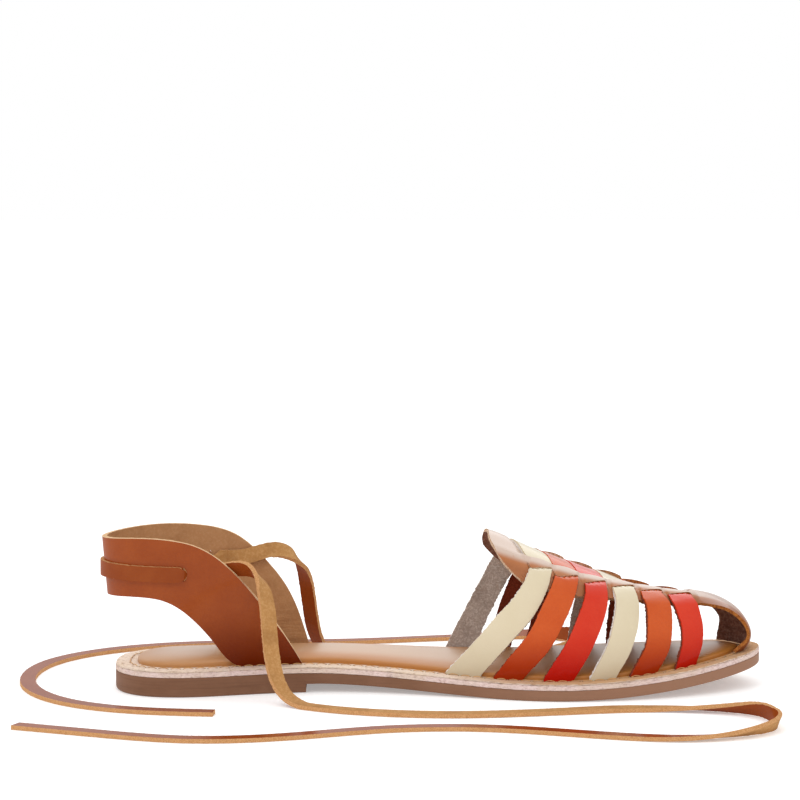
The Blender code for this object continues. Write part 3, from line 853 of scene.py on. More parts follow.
@dataclass
class SoleShape:
    """Outline and heights of the sole, and the surface that the vamp lies on."""
    length: float = 253.0
    heel_seat: float = 7.5
    outsole: float = 4.0
    heel_breast: float = 75.0
    seat_end: float = 72.0
    tread_back: float = 160.0
    tread_front: float = 168.0
    toe_spring: float = 0.00121
    gap: float = 0.3
    midsole: float = 2.4
    feather: float = 7.3
    vamp_rise: float = 0.2
    outline_steps: int = 1440
    line_steps: int = 200
    outline: Table = (
        (0.0, -0.5), (2.4, -15.0), (12, -25.2), (25, -28.2), (50, -23.0), (78, -17.4),
        (106, -19.6), (142, -29.6), (170, -36.2), (190, -35.4), (208, -31.4), (226, -24.4),
        (241, -15.2), (250, -6.0), (253.0, 3.5), (251, 13), (243, 26.5), (227, 39.2),
        (208, 47.4), (186, 50.2), (160, 46.4), (128, 39.8), (90, 35.0), (50, 31.0),
        (25, 27.0), (12, 23.4), (2.4, 13.0))
    ridge: Table = (
        (143, 61.0), (150, 58.8), (157, 55.6), (165, 52.2), (175, 48.4), (186, 44.4),
        (197, 41.4), (208, 38.8), (219, 36.9), (229, 35.5))
    spine_angles: Table = (
        (144, 40), (160, 41), (182, 39), (194, 35), (206, 32), (218, 30), (229, 29))

    def __post_init__(self) -> None:
        """Works out the outline and the tables that the rest reads."""
        self.loop = SmoothLine(self.outline, closed=True).even(self.outline_steps + 1)[:-1]
        ahead = units(np.roll(self.loop, -1, axis=0) - np.roll(self.loop, 1, axis=0))
        self.inward = np.column_stack([-ahead[:, 1], ahead[:, 0]])
        self.feather_line = self.edges(self.feather)
        self.ridge_line = SmoothLine(self.ridge).even(self.line_steps)
        self.spine_line = SmoothLine(self.spine_angles).even(self.line_steps)

    def sides(self, inset: float) -> tuple[Array, Array]:
        """The outline moved in, as rows of station, across and inward direction for each side."""
        loop = np.column_stack([self.loop + self.inward * inset, self.inward])
        loop = np.roll(loop, -int(np.argmin(loop[:, 0])), axis=0)
        front = int(np.argmax(loop[:, 0]))
        return loop[:front + 1], np.vstack([loop[front:], loop[:1]])[::-1]

    def edges(self, inset: float) -> tuple[Callable, Callable]:
        """Functions that give the inner and the outer edge at stations."""
        inner, outer = self.sides(inset)
        return (lambda s: np.interp(s, inner[:, 0], inner[:, 1]),
                lambda s: np.interp(s, outer[:, 0], outer[:, 1]))

    def outsole_top(self, station: Any) -> Array:
        """Height of the outsole's top."""
        share = (np.asarray(station, float) - self.seat_end) / (self.tread_back - self.seat_end)
        spring = self.toe_spring * np.maximum(0.0, station - self.tread_front) ** 2
        return self.heel_seat - (self.heel_seat - self.outsole) * ease(share) + spring

    def midsole_top(self, station: Any) -> Array:
        """Height of the midsole's top."""
        return self.outsole_top(station) + self.gap + self.midsole

    def planted(self, grid: Array, sunk: float) -> Array:
        """A strip's grid with one more row at each end, sunk so far into the midsole."""
        feet = [grid[:1].copy(), grid[-1:].copy()]
        for foot in feet:
            foot[..., 2] = self.midsole_top(foot[..., 0]) - sunk
        return np.concatenate([feet[0], grid, feet[1]])

    def vamp_point(self, station: Any, angle: Any) -> Array:
        """The vamp's middle surface: half an ellipse over the foot at each station.

        Args:
            station: places along the foot, in millimetres.
            angle: from the top, minus to the inner side, in radians.

        Returns:
            The points, in millimetres.
        """
        station, angle = np.broadcast_arrays(np.asarray(station, float), angle)
        inner, outer = self.feather_line[0](station), self.feather_line[1](station)
        foot = self.midsole_top(station) + self.gap + self.vamp_rise
        ridge = np.interp(station, self.ridge_line[:, 0], self.ridge_line[:, 1])
        across = (inner + outer) / 2 + (outer - inner) / 2 * np.sin(angle)
        return np.stack([station, across, foot + (ridge - foot) * np.cos(angle)], axis=-1)

    def vamp_normal(self, station: Any, angle: Any) -> Array:
        """Outward direction of the vamp's middle surface."""
        nudge, turn = 0.5, radians(0.5)
        along = self.vamp_point(station + nudge, angle) - self.vamp_point(station - nudge, angle)
        across = self.vamp_point(station, angle + turn) - self.vamp_point(station, angle - turn)
        return units(np.cross(along, across))

    def spine_angle(self, station: Any) -> Array:
        """Half the spine's width as an angle in radians."""
        return np.radians(np.interp(station, self.spine_line[:, 0], self.spine_line[:, 1]))


# ------------------------ stitches and fibres

class Growth(Tree):
    """A Geometry Nodes tree with named inputs, run on an object and left as plain mesh."""

    def __init__(self, name: str, inputs: dict[str, tuple[str, Any]]) -> None:
        """Makes the tree with its input and output sockets.

        Args:
            name: the tree's name.
            inputs: socket kind and value by input name.
        """
        super().__init__(bpy.data.node_groups.new(name, "GeometryNodeTree"))
        face = self.tree.interface
        face.new_socket("Geometry", in_out="INPUT", socket_type="NodeSocketGeometry")
        face.new_socket("Geometry", in_out="OUTPUT", socket_type="NodeSocketGeometry")
        self.values: dict[str, Any] = {}
        for label, (kind, value) in inputs.items():
            made = face.new_socket(label, in_out="INPUT", socket_type=kind)
            self.values[made.identifier] = value
        self.given = {socket.name: Term(self, socket)
                      for socket in self.node("NodeGroupInput").outputs if socket.name}
        self.output = self.node("NodeGroupOutput")

    def plant(self, **inputs: Any) -> None:
        """Sets copies of a shape on points, makes them real and dresses them.

        Args:
            inputs: the node's Points, Instance and Rotation, and Scale where it varies.
        """
        placed = self.result("GeometryNodeInstanceOnPoints", inputs)
        real = self.result("GeometryNodeRealizeInstances", {0: placed})
        self.feed(self.output.inputs[0], self.result("GeometryNodeSetMaterial", {
            "Geometry": real, "Material": self.given["Finish"]}))

    def grow_on(self, made: Object) -> None:
        """Gives an object the tree as a modifier, with the tree's values."""
        modifier = made.modifiers.new(self.tree.name, "NODES")
        modifier.node_group = self.tree
        for identifier, value in self.values.items():
            modifier[identifier] = value


@dataclass
class Sewing:
    """A row of raised stitches along a path, each with its needle holes."""
    maker: Maker
    spacing: float = 4.8
    length: float = 3.7
    rise: float = 0.85
    thread: float = 0.3
    hole: float = 0.75
    wobble: float = 0.09
    dimple: tuple[float, float, float] = (1.0, 0.8, 0.16)
    seed: int = 4

    def tree(self, finish: str, holes: bool) -> Growth:
        """The tree that lays stitches, or their holes, along a curve.

        Args:
            finish: the stitches' or holes' material.
            holes: whether it lays the needle holes.

        Returns:
            The tree.
        """
        group = Growth("sewing_" + finish, {
            "Spacing": ("NodeSocketFloat", self.spacing * MM),
            "Length": ("NodeSocketFloat", self.length * MM),
            "Rise": ("NodeSocketFloat", self.rise * MM),
            "Thread": ("NodeSocketFloat", self.thread * MM),
            "Hole": ("NodeSocketFloat", self.hole * MM),
            "Seed": ("NodeSocketInt", self.seed),
            "Finish": ("NodeSocketMaterial", self.maker.wardrobe.take(finish))})
        given = group.given
        row = group.result("GeometryNodeResampleCurve", {
            "Curve": given["Geometry"], "Length": given["Spacing"]}, mode="LENGTH")
        points = group.node("GeometryNodeCurveToPoints", {"Curve": row},
                            mode="EVALUATED").outputs
        half = given["Length"] * 0.5
        ends = [group.result("ShaderNodeCombineXYZ", {"X": reach})
                for reach in (half, half * -1.0)]
        level = group.result("FunctionNodeAlignRotationToVector", {
            "Vector": points["Tangent"]}, axis="X", pivot_axis="Z")
        tipped = group.result("FunctionNodeAlignRotationToVector", {
            "Rotation": level, "Vector": points["Tangent"]}, axis="X", pivot_axis="Y")
        wobble = group.result("FunctionNodeRandomValue", {
            2: -self.wobble, 3: self.wobble, "Seed": given["Seed"]}, 1, data_type="FLOAT")
        swing = group.result("ShaderNodeCombineXYZ", {"Z": wobble})
        turned = group.result("FunctionNodeRotateRotation", {0: tipped, 1: swing},
                              rotation_space="LOCAL")
        group.plant(Points=points["Points"], Rotation=turned,
                    Instance=self._holes(group, ends) if holes else self._arch(group, ends))
        return group

    @staticmethod
    def _arch(group: Growth, ends: Sequence[Term]) -> Term:
        """One stitch: an arched thread between its two holes.

        Args:
            group: the tree.
            ends: the stitch's front and back end.

        Returns:
            The thread's mesh.
        """
        top = group.result("ShaderNodeCombineXYZ", {"Z": group.given["Rise"]})
        arch = group.result("GeometryNodeCurveQuadraticBezier", {
            "Resolution": 7, "Start": ends[1], "Middle": top, "End": ends[0]})
        section = group.result("GeometryNodeCurvePrimitiveCircle", {
            "Resolution": 6, "Radius": group.given["Thread"] * 0.5})
        return group.result("GeometryNodeCurveToMesh", {
            "Curve": arch, "Profile Curve": section, "Fill Caps": True})

    def _holes(self, group: Growth, ends: Sequence[Term]) -> Term:
        """Two flat dimples where the needle went through, dark as painted shade of the holes.

        Args:
            group: the tree.
            ends: the places of the two holes.

        Returns:
            The dimples' mesh.
        """
        both = group.node("GeometryNodeJoinGeometry")
        radius = group.given["Hole"] * 0.5
        for end in ends:
            ball = group.result("GeometryNodeMeshUVSphere", {
                "Segments": 10, "Rings": 6, "Radius": radius})
            group.feed(both.inputs[0], group.result("GeometryNodeTransform", {
                "Geometry": ball, "Translation": end, "Scale": self.dimple}))
        return Term(group, both.outputs[0])

    def build(self, name: str, path: Array, slot: str) -> None:
        """Sews along a closed path.

        Args:
            name: the pieces' name.
            path: points in metres.
            slot: not used.
        """
        for finish, holes in (("tan_thread", False), ("needle_hole", True)):
            curve = bpy.data.curves.new("row", "CURVE")
            curve.dimensions = "3D"
            run = curve.splines.new("POLY")
            run.points.add(len(path) - 1)
            for point, place in zip(run.points, path):
                point.co = (*place, 1.0)
            run.use_cyclic_u = True
            guide = linked("row", curve)
            self.tree(finish, holes).grow_on(guide)
            mesh = evaluated_mesh(guide)
            bpy.data.objects.remove(guide)
            mesh.shade_smooth()
            Maker.attach(linked(name + ("_holes" if holes else ""), mesh), slot)


@dataclass
class Fuzz:
    """Short loose fibres on the cut edges of a piece of leather."""
    maker: Maker
    length: float
    width: float
    seed: int
    per_square_mm: float = 3.0
    lean: tuple[float, float, float] = (0.9, 0.9, 3.0)
    sizes: tuple[float, float] = (0.35, 1.15)

    @staticmethod
    def on_cut_edge(face: bmesh.types.BMFace) -> bool:
        """Whether a face belongs to a leather piece's cut edge."""
        return face.material_index == 2

    def build(self, source: Object, hairy: Callable, finish: str, slot: str) -> None:
        """Grows fibres on a piece's cut edges.

        Args:
            source: the piece.
            hairy: says of one of its faces whether fibres stand on it.
            finish: the fibres' material.
            slot: not used.
        """
        mesh = source.data.copy()
        with opened(mesh) as work:
            rest = [face for face in work.faces if not hairy(face)]
            bmesh.ops.delete(work, geom=rest, context="FACES")
        made = linked(source.name + "_fuzz", mesh)
        group = Growth("fuzz", {
            "Density": ("NodeSocketFloat", self.per_square_mm * 1e6),
            "Length": ("NodeSocketFloat", self.length * MM),
            "Width": ("NodeSocketFloat", self.width * MM),
            "Seed": ("NodeSocketInt", self.seed),
            "Finish": ("NodeSocketMaterial", self.maker.wardrobe.take(finish))})
        given = group.given
        spread = group.node("GeometryNodeDistributePointsOnFaces", {
            "Mesh": given["Geometry"], "Density": given["Density"],
            "Seed": given["Seed"]}).outputs
        fibre = group.result("GeometryNodeMeshCone", {
            "Vertices": 3, "Radius Top": 0.0, "Radius Bottom": given["Width"],
            "Depth": given["Length"]})
        lean = group.result("FunctionNodeRandomValue", {
            0: tuple(-turn for turn in self.lean), 1: self.lean, "Seed": given["Seed"]},
            data_type="FLOAT_VECTOR")
        turned = group.result("FunctionNodeRotateRotation", {
            0: spread["Rotation"], 1: lean}, rotation_space="LOCAL")
        size = group.result("FunctionNodeRandomValue", {
            2: self.sizes[0], 3: self.sizes[1], "Seed": given["Seed"]}, 1,
            data_type="FLOAT")
        group.plant(Points=spread["Points"], Instance=fibre, Rotation=turned, Scale=size)
        group.grow_on(made)
        Maker.settle(made, 60.0)
        Maker.attach(made, slot)


# ------------------------ sole

@dataclass
class Sole:
    """Outsole with its heel block, two raw leather layers, the footbed and the sewing."""
    shape: SoleShape
    maker: Maker
    side_rows: int = 110
    raw_rows: int = 420
    breast_rows: int = 14
    corner_rows: int = 5
    pulls: tuple[float, ...] = (1.0, 0.66, 0.33)
    raw_edge: float = 0.1
    raw_smooth: int = 7
    bond: float = 0.16
    tread_edge: float = 0.05
    tread_wear: float = 0.75
    block_edge: float = 1.3
    block_centre: tuple[float, float] = (40.0, 0.5)
    welt: float = 0.6
    welt_inset: float = 0.12
    insole_inset: float = 8.7
    insole_edge: float = 0.9
    insole_crown: float = 2.5
    insole_bulge: float = 0.1
    insole_foot: float = 0.03
    crown_rows: int = 16
    stitch_inset: float = 5.7
    stitch_path_step: int = 4
    stitch_lift: float = 0.05
    centre_reach: float = 26.0

    def rim(self, inset: float = 0.0, last: Optional[float] = None,
            rows: Optional[int] = None) -> Array:
        """Rows of station, across and inward direction round the outline, from the heel's back.

        Args:
            inset: how far in from the sole's edge.
            last: the station where the loop is cut straight across, if it is.
            rows: steps along each side, where they are not the usual ones.

        Returns:
            The loop, with its inner and its outer side at matching stations.
        """
        rows = rows or self.side_rows
        inner, outer = self.shape.sides(inset)
        first, front = inner[0, 0], inner[-1, 0]
        if last is None:
            turn = np.linspace(0, pi, rows + 1)
            stations = first + (front - first) * (1 - np.cos(turn)) / 2
        else:
            turn = np.linspace(0, pi / 2, rows // 2 + 1)
            stations = first + (last - first) * (1 - np.cos(turn))
        sides = [np.column_stack([stations] + [np.interp(stations, side[:, 0], side[:, c])
                                               for c in (1, 2, 3)]) for side in (inner, outer)]
        for side, whole in zip(sides, (inner, outer)):
            side[0] = whole[0]
            if last is None:
                side[-1] = whole[-1]
        if last is None:
            return np.vstack([sides[0], sides[1][-2:0:-1]])
        a, b = sides[0][-1], sides[1][-1]
        breast = [(last, a[1] + (b[1] - a[1]) * t, -1.0, 0.0)
                  for t in np.linspace(0, 1, self.breast_rows)[1:-1]]
        return np.vstack([sides[0], breast, sides[1][:0:-1]])

    def centre(self, rim: Array) -> Array:
        """The point of the sole's middle line that each point of a rim is drawn towards."""
        reach, length = self.centre_reach, self.shape.length
        station = reach + (length - 2 * reach) * rim[:, 0] / length
        inner, outer = self.shape.edges(0.0)
        return np.column_stack([station, (inner(station) + outer(station)) / 2])

    def slab(self, name: str, rim: Array, middle: Array, low: Callable, high: Callable,
             soft: tuple[Any, float], inset: float = 0.0, rough: float = 0.0) -> Mesh:
        """A flat layer with rounded edges.

        Args:
            name: the mesh's name.
            rim: rows of station, across and inward direction.
            middle: the points that the rim is drawn towards.
            low: height of the underside at a station.
            high: height of the top at a station.
            soft: radii of the lower edge, one or one a rim point, and of the upper edge.
            inset: how far in the whole layer lies.
            rough: how far the raw edge wanders in and out.

        Returns:
            The closed mesh.
        """
        rings = []
        rng = np.random.default_rng(len(rim))
        waves = rng.normal(0.0, rough, len(rim))
        even = np.ones(self.raw_smooth) / self.raw_smooth
        waves = waves + 2 * np.convolve(waves, even, "same")

        def ring(inward: Any, pull: float, height: Callable, lift: Any) -> Array:
            """One loop, moved in from the rim or drawn towards the middle."""
            jitter = waves + rng.normal(0.0, rough, len(rim))
            flat = rim[:, :2] + rim[:, 2:4] * (inset + inward + abs(jitter))[:, None]
            flat = flat + (middle - flat) * pull
            return np.column_stack([flat, height(flat[:, 0]) + lift])

        corner = np.linspace(0, pi / 2, self.corner_rows)
        for pull in self.pulls:
            rings.append(ring(soft[0], pull, low, 0.0))
        for turn in corner:
            rings.append(ring(soft[0] * (1 - sin(turn)), 0, low, soft[0] * (1 - cos(turn))))
        for turn in corner:
            rings.append(ring(soft[1] * (1 - cos(turn)), 0, high, soft[1] * (sin(turn) - 1)))
        for pull in self.pulls[::-1]:
            rings.append(ring(soft[1], pull, high, 0.0))
        return self.maker.ring_mesh(name, rings)

    def build_outsole(self) -> None:
        """The outsole's slab and the heel block under it."""
        shape = self.shape
        rim = self.rim()
        ahead = ease((rim[:, 0] - shape.heel_breast - 1) / 6)
        worn = self.tread_edge + self.tread_wear * ahead
        slab = self.slab("outsole", rim, self.centre(rim),
                         lambda s: np.maximum(0.0, shape.outsole_top(s) - shape.outsole),
                         lambda s: shape.outsole_top(s) + self.bond, (worn, 0.25))
        sole = self.maker.piece("outsole_slab", slab, ["sole_rubber"], "outsole")
        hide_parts("outsole")
        rim = self.rim(last=shape.heel_breast)
        middle = np.tile(self.block_centre, (len(rim), 1))
        block = self.slab("heel_block", rim, middle, lambda s: 0.0 * s,
                          lambda s: 0.0 * s + shape.heel_seat - shape.outsole,
                          (self.block_edge, self.tread_edge))
        self.maker.piece("heel_block", block, ["sole_rubber"], "outsole")

    @staticmethod
    def on_raw_edge(face: bmesh.types.BMFace) -> bool:
        """Whether a face of a layer looks out of its raw edge."""
        return abs(face.normal.z) < 0.5

    def raw_layer(self, name: str, finish: str, low: Callable, high: Callable,
                  soft: tuple[float, float], fuzz: Fuzz, inset: float = 0.0) -> Object:
        """A layer of raw leather with a fibrous edge.

        Args:
            name: the layer's name.
            finish: its material, and its fibres'.
            low: height of the underside at a station.
            high: height of the top at a station.
            soft: radii of the lower and the upper edge.
            fuzz: the fibres.
            inset: how far in the layer lies.

        Returns:
            The new object.
        """
        rim = self.rim(rows=self.raw_rows)
        mesh = self.slab(name, rim, self.centre(rim), low, high, soft, inset, self.raw_edge)
        layer = self.maker.piece(name + "_layer", mesh, [finish], "midsole")
        fuzz.build(layer, self.on_raw_edge, finish, "midsole")
        return layer

    def build_layers(self) -> None:
        """The thick raw layer and the thin welt on it."""
        shape = self.shape
        split = shape.gap + shape.midsole - self.welt
        thick = self.raw_layer(
            "midsole", "midsole_board", low=lambda s: shape.outsole_top(s) + 0.2,
            high=lambda s: shape.outsole_top(s) + split, soft=(0.2, 0.35),
            fuzz=Fuzz(self.maker, per_square_mm=3.2, length=0.42, width=0.08, seed=21))
        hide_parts("midsole")
        self.raw_layer(
            "welt", "welt_board", low=lambda s: shape.outsole_top(s) + split + 0.03,
            high=shape.midsole_top, soft=(0.25, 0.3), inset=self.welt_inset,
            fuzz=Fuzz(self.maker, per_square_mm=2.4, length=0.36, width=0.07, seed=22))

    def build_footbed(self) -> None:
        """The padded insole: a short wall, a rounded shoulder and a crown."""
        shape = self.shape
        rim = self.rim(self.insole_inset)
        middle = self.centre(rim)
        rings, rise = [], []

        def ring(pull: float, lift: float, out: float = 0.0) -> None:
            """One loop of the pillow."""
            flat = rim[:, :2] - rim[:, 2:4] * out
            flat = flat + (middle - flat) * pull
            rings.append(np.column_stack([flat, shape.midsole_top(flat[:, 0]) + lift]))
            rise.append(lift / (self.insole_edge + self.insole_crown + shape.gap))

        for pull in (1.0, 0.5, 0.1, 0.02):
            ring(pull, self.insole_foot)
        for lift in (self.insole_foot, 0.4, 0.8):
            ring(0.0, lift, self.insole_bulge)
        for turn in np.linspace(0, pi / 2, self.crown_rows):
            share = 1 - cos(turn)
            swell = self.insole_crown * sin(turn)
            ring(share, shape.gap + self.insole_edge + swell, self.insole_bulge * (1 - share))
        mesh = self.maker.ring_mesh("footbed", rings, rise)
        bed = self.maker.piece("footbed", mesh, ["footbed_leather"], "insole")
        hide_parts("insole")

    def build_sewing(self) -> None:
        """The row of stitches that holds straps and insole to the midsole."""
        loop = self.shape.loop + self.shape.inward * self.stitch_inset
        height = self.shape.midsole_top(loop[:, 0]) + self.stitch_lift
        path = DATUM.metres(np.column_stack([loop, height]))
        Sewing(self.maker).build("welt_stitches", path[::self.stitch_path_step], "midsole")

    def build(self) -> None:
        """Builds every layer."""
        self.build_outsole()
        self.build_layers()
        self.build_footbed()
        self.build_sewing()
        LOG.info("sole: outsole, heel block, two raw layers, footbed and sewing")


# ------------------------ vamp

@dataclass(frozen=True)
class Strap:
    """One cross strap: its widths from the slit to the foot, and stations of its middle.

    The stations go from the foot on the inner side, up that side to the slit, over the ridge,
    and down the outer side.
    """
    name: str
    dye: Dye
    widths: tuple[float, ...]
    stations: tuple[float, ...]
    woven: bool = True
    angles: tuple[float, ...] = (-90, -72, -55, -38, -24, 0, 20, 55, 90)
    width_angles: tuple[float, ...] = (16, 22, 32, 55, 72, 90)

    def station(self, angle: Array) -> Array:
        """Station of the strap's middle at angles in degrees from the vamp's top.

        Args:
            angle: minus on the inner side.

        Returns:
            The stations, on a smooth curve through the fields' own.
        """
        places = np.array(self.angles, float)
        values = np.array(self.stations, float)
        slopes = np.gradient(values, places)
        at = np.asarray(angle, float)
        i = np.clip(np.searchsorted(places, at) - 1, 0, len(places) - 2)
        span = places[i + 1] - places[i]
        t = (at - places[i]) / span
        ends = ((2 * t ** 3 - 3 * t ** 2 + 1) * values[i]
                + (3 * t ** 2 - 2 * t ** 3) * values[i + 1])
        lean = (t ** 3 - 2 * t ** 2 + t) * slopes[i] + (t ** 3 - t ** 2) * slopes[i + 1]
        return ends + lean * span

    def half_width(self, shape: SoleShape, angle: Array) -> Array:
        """Half the strap's width along the foot, wider where the strap slants.

        Args:
            shape: what the strap lies on.
            angle: in degrees from the vamp's top.

        Returns:
            The half widths, in millimetres.
        """
        angle, step = np.clip(angle, -86, 86), 2
        behind, ahead = (shape.vamp_point(self.station(at), np.radians(at))
                         for at in (angle - step, angle + step))
        path = ahead - behind
        slant = np.linalg.norm(path, axis=-1) / np.linalg.norm(path[..., 1:], axis=-1)
        return np.interp(abs(angle), self.width_angles, self.widths) / 2 * slant


@dataclass
class Vamp:
    """The spine with its slits, and the six cross straps woven through it."""
    shape: SoleShape
    maker: Maker
    strap_thickness: float = 1.6
    strap_over: float = 0.85
    strap_under: float = 0.3
    strap_return: tuple[float, float] = (2, 16)
    strap_lean: float = 0.7
    top_lean: float = 0.15
    lean_angles: tuple[float, float] = (26, 16)
    strap_crown: float = 0.12
    strap_fray: float = 0.7
    strap_foot: float = 0.35
    strap_rows: int = 260
    lanes: tuple[float, ...] = (-1.0, -0.9, -0.5, 0.0, 0.5, 0.9, 1.0)
    jag: float = 0.04
    spine_thickness: float = 1.3
    spine_fray: float = 0.35
    spine_rows: int = 400
    spine_columns: int = 41
    spine_stations: int = 24
    spine_steps: int = 8
    lane_columns: int = 9
    apex: float = 144.9
    tip_width: float = 0.25
    throat_sides: Table = ((3.5, 10.3, 5), (1.2, 10.1, 9.4))
    front: float = 229.0
    toe_turn: float = 36
    slit_turn: float = 4.4
    strand_waist: float = 1.3
    flat_end: float = 4
    # how the lanes of the spine lie where straps cross them, and where they join between
    weave_reach: float = 60
    centre_over: float = -0.3
    centre_drop: float = 1.8
    margin_drop: float = 0.75
    margin_joint: float = 0.2
    strand_rises: tuple[float, float] = (1.2, 1.1)
    strand_round: float = 0.06
    strand_hold: float = 0.8
    joint: float = 0.4
    outer_joint: float = -0.3
    outer_bow: float = 0.9
    outer_tuck: float = 0.9
    join_start: float = 0.84
    join_lengths: tuple[float, float] = (0.7, 0.24)
    join_change: float = 158
    outer_lead: float = 0.3
    tuck_end: float = 167
    front_sink: float = 2.2
    sink_kept: float = 0.35
    sink_start: float = 188
    sink_angles: tuple[float, float] = (-15, 48)
    fold: float = 0.8
    fold_angle: float = -25
    fold_width: float = 5
    fold_end: float = 162
    straps: tuple[Strap, ...] = (
        Strap("first", Dye.CREAM, (11.2, 8.7, 7.9, 8.0, 8.7, 10.2),
              (135.8, 149.2, 159.1, 164.5, 165.8, 162.6, 159.0, 149.2, 135.2)),
        Strap("second", Dye.ORANGE, (9.9, 8.6, 8.6, 9.1, 8.7, 8.4),
              (153.2, 164.5, 170.5, 174.6, 176.0, 173.3, 169.0, 160.2, 151.0)),
        Strap("third", Dye.RED, (11.1, 8.5, 8.6, 9.2, 9.1, 9.8),
              (172.3, 179.9, 184.6, 187.2, 187.0, 183.8, 180.0, 173.5, 167.0)),
        Strap("fourth", Dye.CREAM, (11.3, 8.8, 8.9, 9.6, 9.2, 8.6),
              (189.3, 195.4, 198.4, 199.3, 198.2, 194.9, 191.8, 187.6, 184.0)),
        Strap("fifth", Dye.ORANGE, (11.2, 7.8, 10.0, 9.8, 9.5, 9.2),
              (205.3, 210.6, 211.9, 211.7, 209.6, 206.0, 203.4, 201.6, 200.0)),
        Strap("sixth", Dye.RED, (11.0, 8.9, 9.5, 8.9, 8.5, 7.9),
              (221.9, 224.5, 224.7, 223.1, 221.0, 217.4, 215.0, 215.4, 216.0), woven=False),
    )
    # station, the inner side's outer and middle slit, the outer side's middle and outer slit
    slits: Table = (
        (144, 28.5, 22.0, 10.5, 21.0), (166, 27.4, 19.8, 10.5, 20.5),
        (176, 27.3, 18.8, 10.0, 20.0), (187, 24.4, 17.9, 9.5, 18.5),
        (198, 21.9, 15.4, 8.5, 17.0), (209, 20.6, 13.6, 7.5, 15.5),
        (221, 20.3, 13.0, 6.5, 14.5), (229, 18.0, 12.0, 6.0, 13.5))
    # station, height, tilt, across, inner and outer reach, inner and outer drop
    toe_rows: Table = (
        (234.4, 34.3, 16, 7.4, 11.6, 12.6, 2.4, 3.4),
        (239.6, 32.3, 30, 6.2, 11.8, 13.4, 1.6, 5.5),
        (244.1, 29.1, 45, 5.2, 12.0, 14.2, 1.2, 7.0),
        (247.4, 24.9, 60, 4.6, 12.2, 15.0, 1.0, 9.6),
        (249.0, 20.4, 78, 4.3, 12.4, 15.6, 1.8, 10.5),
        (248.6, 17.0, 92, 4.1, 12.2, 15.8, 3.8, 10.0),
        (247.6, 14.6, 90, 4.1, 12.0, 15.6, 5.6, 9.4))

    def phase(self, station: Array, angle: Array) -> Array:
        """Places along the spine counted in straps: whole numbers are the straps' middles.

        Args:
            station: places along the foot, in millimetres.
            angle: in degrees.

        Returns:
            The counts.
        """
        crossings = np.stack([strap.station(angle) for strap in self.straps])
        index = np.clip((station >= crossings).sum(axis=0) - 1, 0, len(self.straps) - 2)[None]
        low = np.take_along_axis(crossings, index, axis=0)[0]
        high = np.take_along_axis(crossings, index + 1, axis=0)[0]
        return index[0] + (station - low) / (high - low)

    def within(self, phase: Array, reach: float) -> Array:
        """One among the straps, and nought past a reach beyond the first and the last."""
        last, fade = len(self.straps) - 1, reach - 0.5
        return ease((phase + reach) / fade) * ease((last + reach - phase) / fade)

    def sink(self, station: Array, angle: Array) -> Array:
        """How far the weave of the crown and its outer side sinks towards the toe."""
        inner, outer = self.sink_angles
        within = ease((angle - inner) / 8) * ease((outer - angle) / 24)
        return self.front_sink * ease((station - self.sink_start) / 22) * within

    def slit_angles(self, station: Array, angle: Array) -> tuple[Array, Array]:
        """Sizes in degrees of the outer slit's and the middle slit's angle.

        Args:
            station: places along the foot.
            angle: angles whose sign says which side of the foot is meant.

        Returns:
            The two sizes, at each place.
        """
        station, angle = np.broadcast_arrays(np.asarray(station, float), angle)
        table = np.array(self.slits).T
        inner = angle < 0
        outer, middle = (np.where(inner, np.interp(station, table[0], table[near]),
                                  np.interp(station, table[0], table[far]))
                         for near, far in ((1, 4), (2, 3)))
        phase = self.phase(station, np.where(inner, -1, 1) * (outer + middle) / 2)
        away = phase - np.round(phase)
        among = self.within(phase, 1.0)
        turn = -2 * away * (1 - (2 * abs(away)) ** 8) * among
        waist = (0.5 - 0.5 * np.cos(2 * pi * phase)) * among
        return outer + self.slit_turn * turn, middle + self.strand_waist * waist

    # ------------------------ straps

    def strap_offset(self, strap: Strap, station: Array, angle: Array) -> Array:
        """How far out of the vamp's middle surface a strap lies, over or under the spine.

        Args:
            strap: the strap.
            station: places along the foot, in millimetres.
            angle: in degrees.

        Returns:
            The distances, in millimetres.
        """
        outer, middle = self.slit_angles(station, angle)
        size, turn, under = abs(angle), 2.0, -self.strap_under
        offset = under + (self.strap_over - under) * ease((size - outer + turn * 0.2) / turn)
        if strap.woven:
            centre = ease((middle + turn * 0.3 - size) / turn)
            offset = offset + (self.centre_over - under) * centre
        offset = offset - self.sink(station, angle)
        edge = np.degrees(self.shape.spine_angle(station))
        start, span = self.strap_return
        return offset + (0.0 - offset) * ease((size - edge - start) / span)

